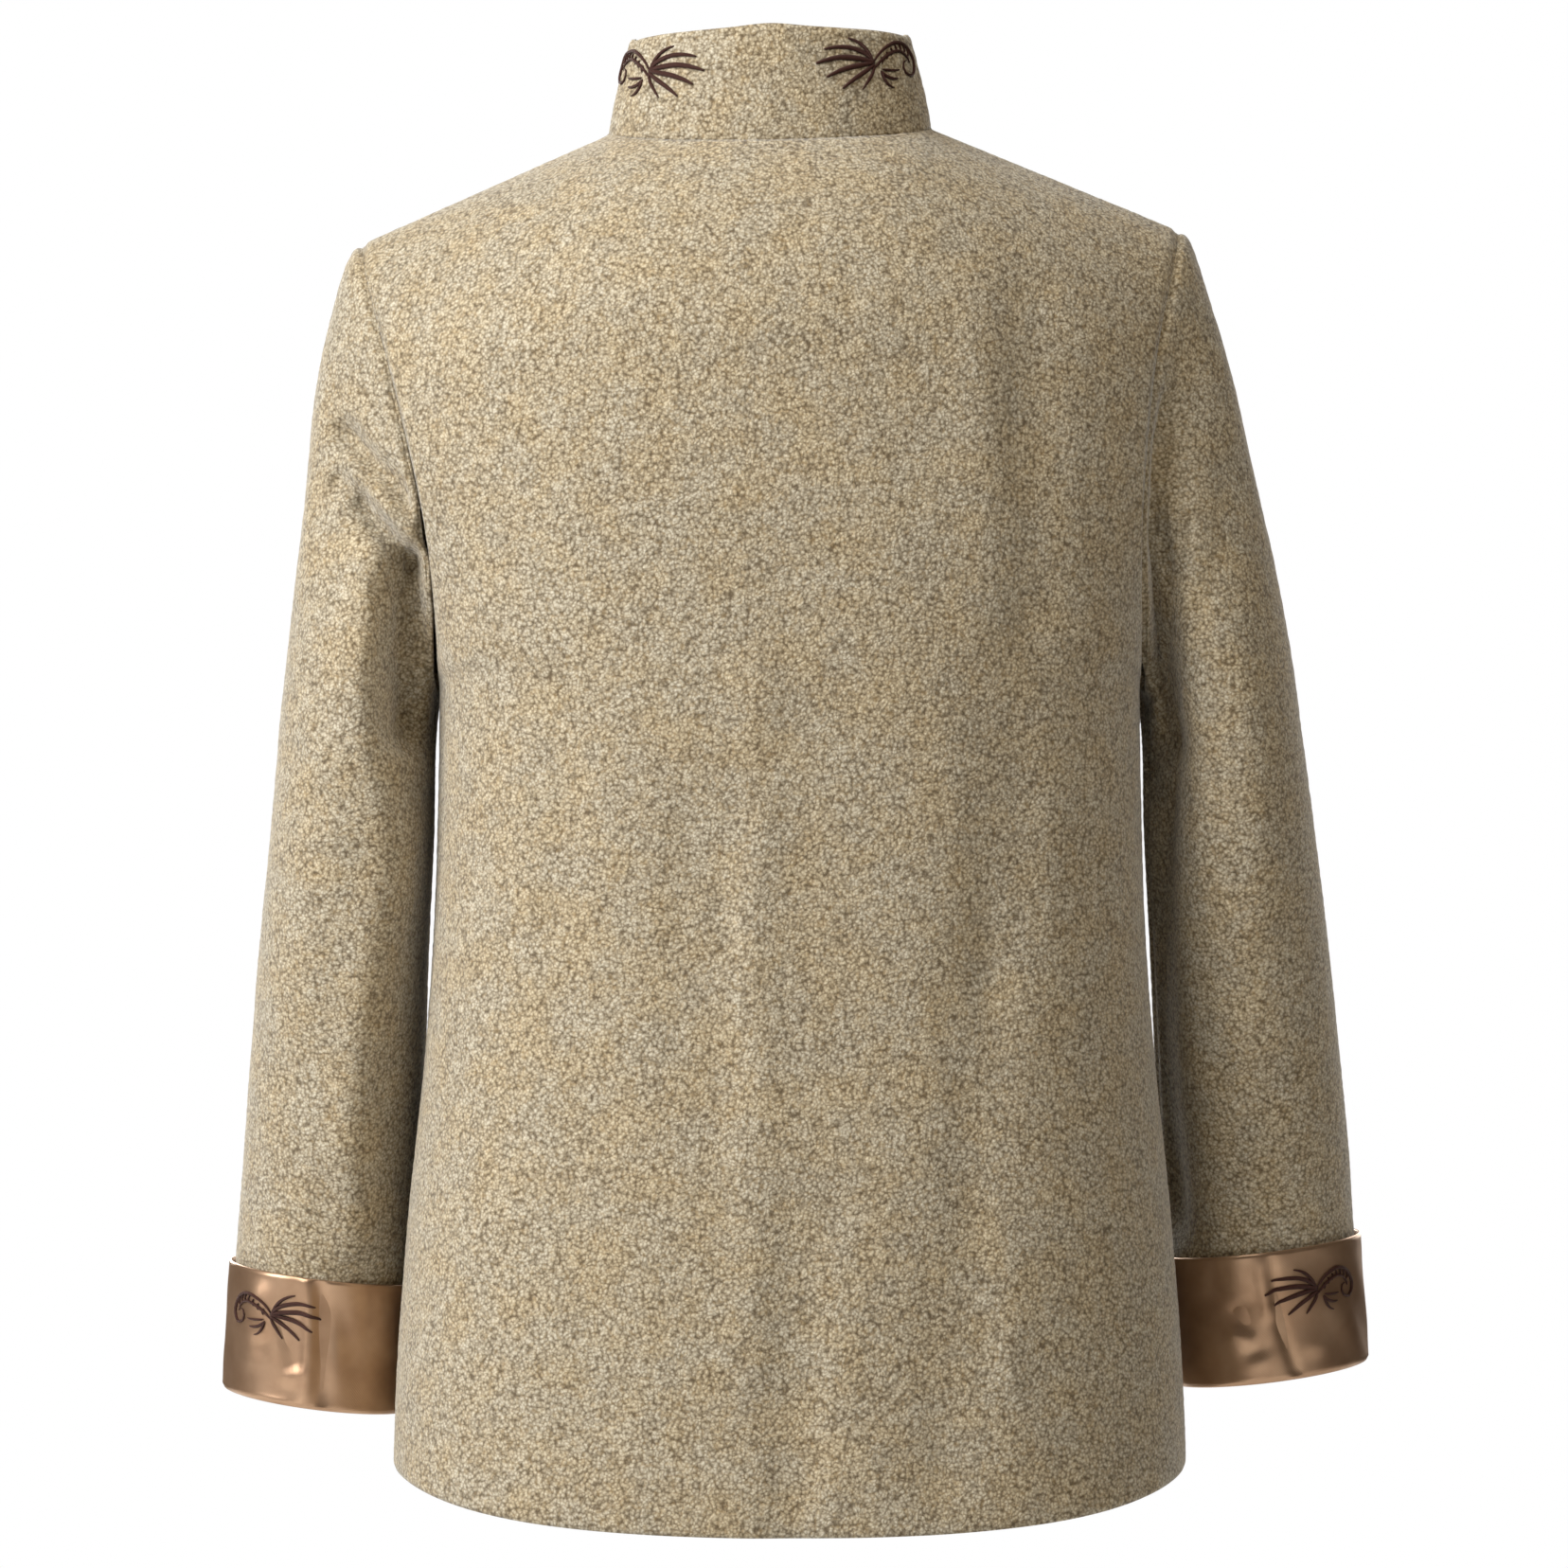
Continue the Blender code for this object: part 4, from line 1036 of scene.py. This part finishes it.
frogShape = {
    "levels": (-0.070, -0.165, -0.262, -0.359, -0.456, -0.553),
    "length": 0.052, "cord": 0.0016, "apart": 0.00175, "lift": 0.0007,
    "eye": 0.0069, "mouth": 38, "eyeRise": 0.0031, "knot": 0.0046, "knotCord": 0.00105,
    "stitch": 0.00034, "stitchEvery": 0.0085, "stitchSlant": 0.0007,
    "loopStitches": 0.009, "knotStitches": 0.016,      # where the couching starts, from the eye and the knot
    "narrowFrom": 0.0150, "narrowOver": 0.0090,        # where the bar narrows into its knot, and how
    "slimmer": 0.30, "closer": 0.45, "lower": 0.35, "barStart": 0.0052,
}


def leaned(point):
    # a point of the upright pattern, with the body's lean and the shoulders' roll
    x, y, z = point
    share = float(ease((leanFrom - z) / (leanFrom - leanTo)))
    return np.array((x + leanOfBody * share, y, z - shoulderRoll * x * (1 - share)))


smoothFronts = [smooth for _, smooth, _ in fronts.values()]
frontPoints = np.concatenate([smooth.reshape(-1, 3) for smooth in smoothFronts])
frontNormals = np.concatenate([normalsOf(smooth).reshape(-1, 3) for smooth in smoothFronts])
frontTree = treeOf(frontPoints * (1, 0, 1))


def onFront(x, z, lift):
    # the point over the smooth front at x and z of the upright pattern, and the way out of the cloth
    x, _, z = leaned((x, 0, z))
    total, depth, normal = 0.0, 0.0, np.zeros(3)
    for _, k, distance in frontTree.find_n((x, 0, z), 5):
        p, n = frontPoints[k], frontNormals[k]
        weight = 1 / (distance + 0.0004) ** 2
        depth += weight * (p[1] - (n[0] * (x - p[0]) + n[2] * (z - p[2])) / n[1])
        normal += weight * n
        total += weight
    normal = unit(normal)
    return np.array((x, depth / total, z)) + normal * lift, normal


def cordTube(spots, level, radius, sides, closed=False):
    # a cord over the smooth front, through spots given across, up from a level and out of the cloth
    found = [onFront(x, level + z, lift) for x, z, lift in spots]
    size = np.full(len(found), radius)
    return tube([p for p, _ in found], [n for _, n in found], size, size, sides, closed)


def stitchesOver(fromX, toX, level):
    # couching stitches across a pair of cords
    shape = frogShape
    made = []
    count = max(1, round(abs(toX - fromX) / shape["stitchEvery"]))
    for k in range(count):
        x = fromX + (toX - fromX) * (k + 0.5) / count
        reach = shape["apart"] + shape["cord"] + shape["stitch"]
        spots = []
        for angle in np.linspace(0, math.pi, 9):
            spots.append((x + shape["stitchSlant"] * math.cos(angle), reach * math.cos(angle),
                          shape["lift"] + (2 * shape["cord"] + 0.0001) * math.sin(angle) ** 0.6))
        made.append(cordTube(spots, level, shape["stitch"], 6))
    return made


def loopSpots(length):
    # the closed cord of the loop half: out along one run, round the eye and back, and the turn at its end
    shape = frogShape
    rest = shape["cord"] + shape["lift"]
    eyeStart, mouth = shape["eye"] + 0.006, math.radians(shape["mouth"])
    spots = [(x, shape["apart"], rest) for x in np.linspace(length, eyeStart, 16)]
    bend = smoothPath([(eyeStart, shape["apart"], rest),
                       (shape["eye"] * math.cos(mouth), shape["eye"] * math.sin(mouth), rest)], 4)
    spots += [tuple(p) for p in bend[1:-1]]
    for angle in np.radians(np.linspace(shape["mouth"], 360 - shape["mouth"], 25)):
        raised = rest + shape["eyeRise"] * (1 - math.cos(angle)) / 2
        spots.append((shape["eye"] * math.cos(angle), shape["eye"] * math.sin(angle), raised))
    spots += [tuple(p) for p in (bend * (1, -1, 1))[-2:0:-1]]
    spots += [(x, -shape["apart"], rest) for x in np.linspace(eyeStart, length, 16)]
    for angle in np.linspace(-math.pi / 2, math.pi / 2, 7)[1:-1]:
        spots.append((length + shape["apart"] * math.cos(angle), shape["apart"] * math.sin(angle), rest))
    return spots


def knotBall(level):
    # a ball knot: one cord woven round a small ball
    shape = frogShape
    radius = shape["knot"] - shape["knotCord"]
    centre, out = onFront(0, level, shape["knot"] + shape["lift"])
    across = unit(np.cross(out, (0.0, 0.0, 1.0)))
    upward = np.cross(across, out)
    path, outs = [], []
    for s in np.linspace(0, 2 * math.pi, 150, endpoint=False):
        turn, lift = 2 * s, 1.05 * math.sin(5 * s)
        way = (across * math.cos(turn) + upward * math.sin(turn)) * math.cos(lift) + out * math.sin(lift)
        path.append(centre + way * (radius + 0.0006 * math.cos(10 * s)))
        outs.append(way)
    size = np.full(len(path), shape["knotCord"])
    woven = tube(path, outs, size, size, 8, True)
    heights = np.linspace(-1, 1, 9)
    core = [centre + out * h * radius * 0.96 for h in heights]
    wide = np.sqrt(np.clip(1 - heights ** 2, 0.01, 1)) * radius * 0.96
    filled = tube(core, [upward] * len(core), wide, wide, 12)
    return [woven, filled]


def narrowing(x):
    # from 0 along the bar to 1 beside the knot
    return float(ease((x + frogShape["narrowFrom"]) / frogShape["narrowOver"]))


def knotBar():
    # the cord of the knot half, out along one run and back along the other
    shape = frogShape
    rest = shape["cord"] + shape["lift"]
    runs = []
    for x in np.linspace(-shape["barStart"], -shape["length"], 18):
        near = narrowing(x)
        runs.append((x, shape["apart"] * (1 - shape["closer"] * near), rest * (1 - shape["lower"] * near)))
    turn = [(-shape["length"] - shape["apart"] * math.cos(a), shape["apart"] * math.sin(a), rest)
            for a in np.linspace(math.pi / 2, -math.pi / 2, 7)[1:-1]]
    return runs + turn + [(x, -z, lift) for x, z, lift in runs[::-1]]


def frogHalves(level):
    shape = frogShape
    bar = knotBar()
    thick = np.array([shape["cord"] * (1 - shape["slimmer"] * narrowing(x)) for x, _, _ in bar])
    loop = [cordTube(loopSpots(shape["length"]), level, shape["cord"], 12, True)]
    loop += stitchesOver(shape["eye"] + shape["loopStitches"], shape["length"], level)
    knot = [cordTube(bar, level, thick, 12)] + knotBall(level)
    knot += stitchesOver(-shape["knotStitches"], -shape["length"], level)
    return {"loop": loop, "knot": knot}


for number, level in enumerate(frogShape["levels"], 1):
    for half, parts in frogHalves(level).items():
        name = f"frog_{half}_{number}"
        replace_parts(joinedPiece(name, parts, cord), name)
print("frogs made")


# the stage, the camera and the light

def plainMaterial(name, colour, roughness):
    material, _, shader = startMaterial(name)
    setInputs(shader, {"Base Color": (*colour, 1), "Roughness": roughness})
    return material


bpy.ops.mesh.primitive_cylinder_add(vertices=96, radius=2.6, depth=0.02, location=(0, 0, -1.46))
floor = bpy.context.active_object
floor.name = "floor"
floor.data.materials.append(plainMaterial("paleFloor", (0.80, 0.80, 0.79), 0.9))

cameraData = bpy.data.cameras.new("camera")
cameraData.angle = 2 * math.atan(0.4223 / 3.0)
camera = bpy.data.objects.new("camera", cameraData)
camera.location = (-0.0075, 3.0, -0.352)
camera.rotation_euler = (math.radians(90), 0, math.radians(180))
bpy.context.collection.objects.link(camera)
bpy.context.scene.camera = camera

lights = {
    # where it stands, how large it is, its power, its colour, and whether it shines in gloss
    "key": ((2.87, 1.53, 0.21), 1.6, 76.0, (1.0, 0.975, 0.960), True),
    "upper": ((1.41, 1.06, 1.41), 1.6, 60.0, (1.0, 0.985, 0.945), True),
    "right": ((-1.17, 2.02, 1.97), 1.6, 44.0, (1.0, 0.920, 0.800), False),
    "farLeft": ((1.1, -3.0, 0.6), 2.0, 92.0, (1.0, 0.98, 0.94), True),
    "farRight": ((-1.4, -2.9, 0.3), 2.0, 44.0, (1.0, 0.95, 0.88), True),
}
for name, (spot, size, power, colour, inGloss) in lights.items():
    data = bpy.data.lights.new(name, "AREA")
    data.size = size
    data.energy = power
    data.color = colour
    light = bpy.data.objects.new(name, data)
    light.location = spot
    light.visible_glossy = inGloss
    light.rotation_euler = (Vector((0.0, 0.0, -0.36)) - Vector(spot)).to_track_quat("-Z", "Y").to_euler()
    bpy.context.collection.objects.link(light)

world = bpy.data.worlds.new("studio")
bpy.context.scene.world = world
world.use_nodes = True
tree = world.node_tree
tree.nodes.clear()
seen = nodeOf(tree, "ShaderNodeBackground", {"Color": (1, 1, 1, 1), "Strength": 1.0})
unseen = nodeOf(tree, "ShaderNodeBackground", {"Color": (1.0, 0.70, 0.48, 1), "Strength": 0.03})
path = nodeOf(tree, "ShaderNodeLightPath")
either = nodeOf(tree, "ShaderNodeMixShader")
tree.links.new(path.outputs["Is Camera Ray"], either.inputs[0])
tree.links.new(unseen.outputs[0], either.inputs[1])
tree.links.new(seen.outputs[0], either.inputs[2])
tree.links.new(either.outputs[0], nodeOf(tree, "ShaderNodeOutputWorld").inputs["Surface"])
bpy.context.scene.view_settings.view_transform = "Standard"
print("stage made")
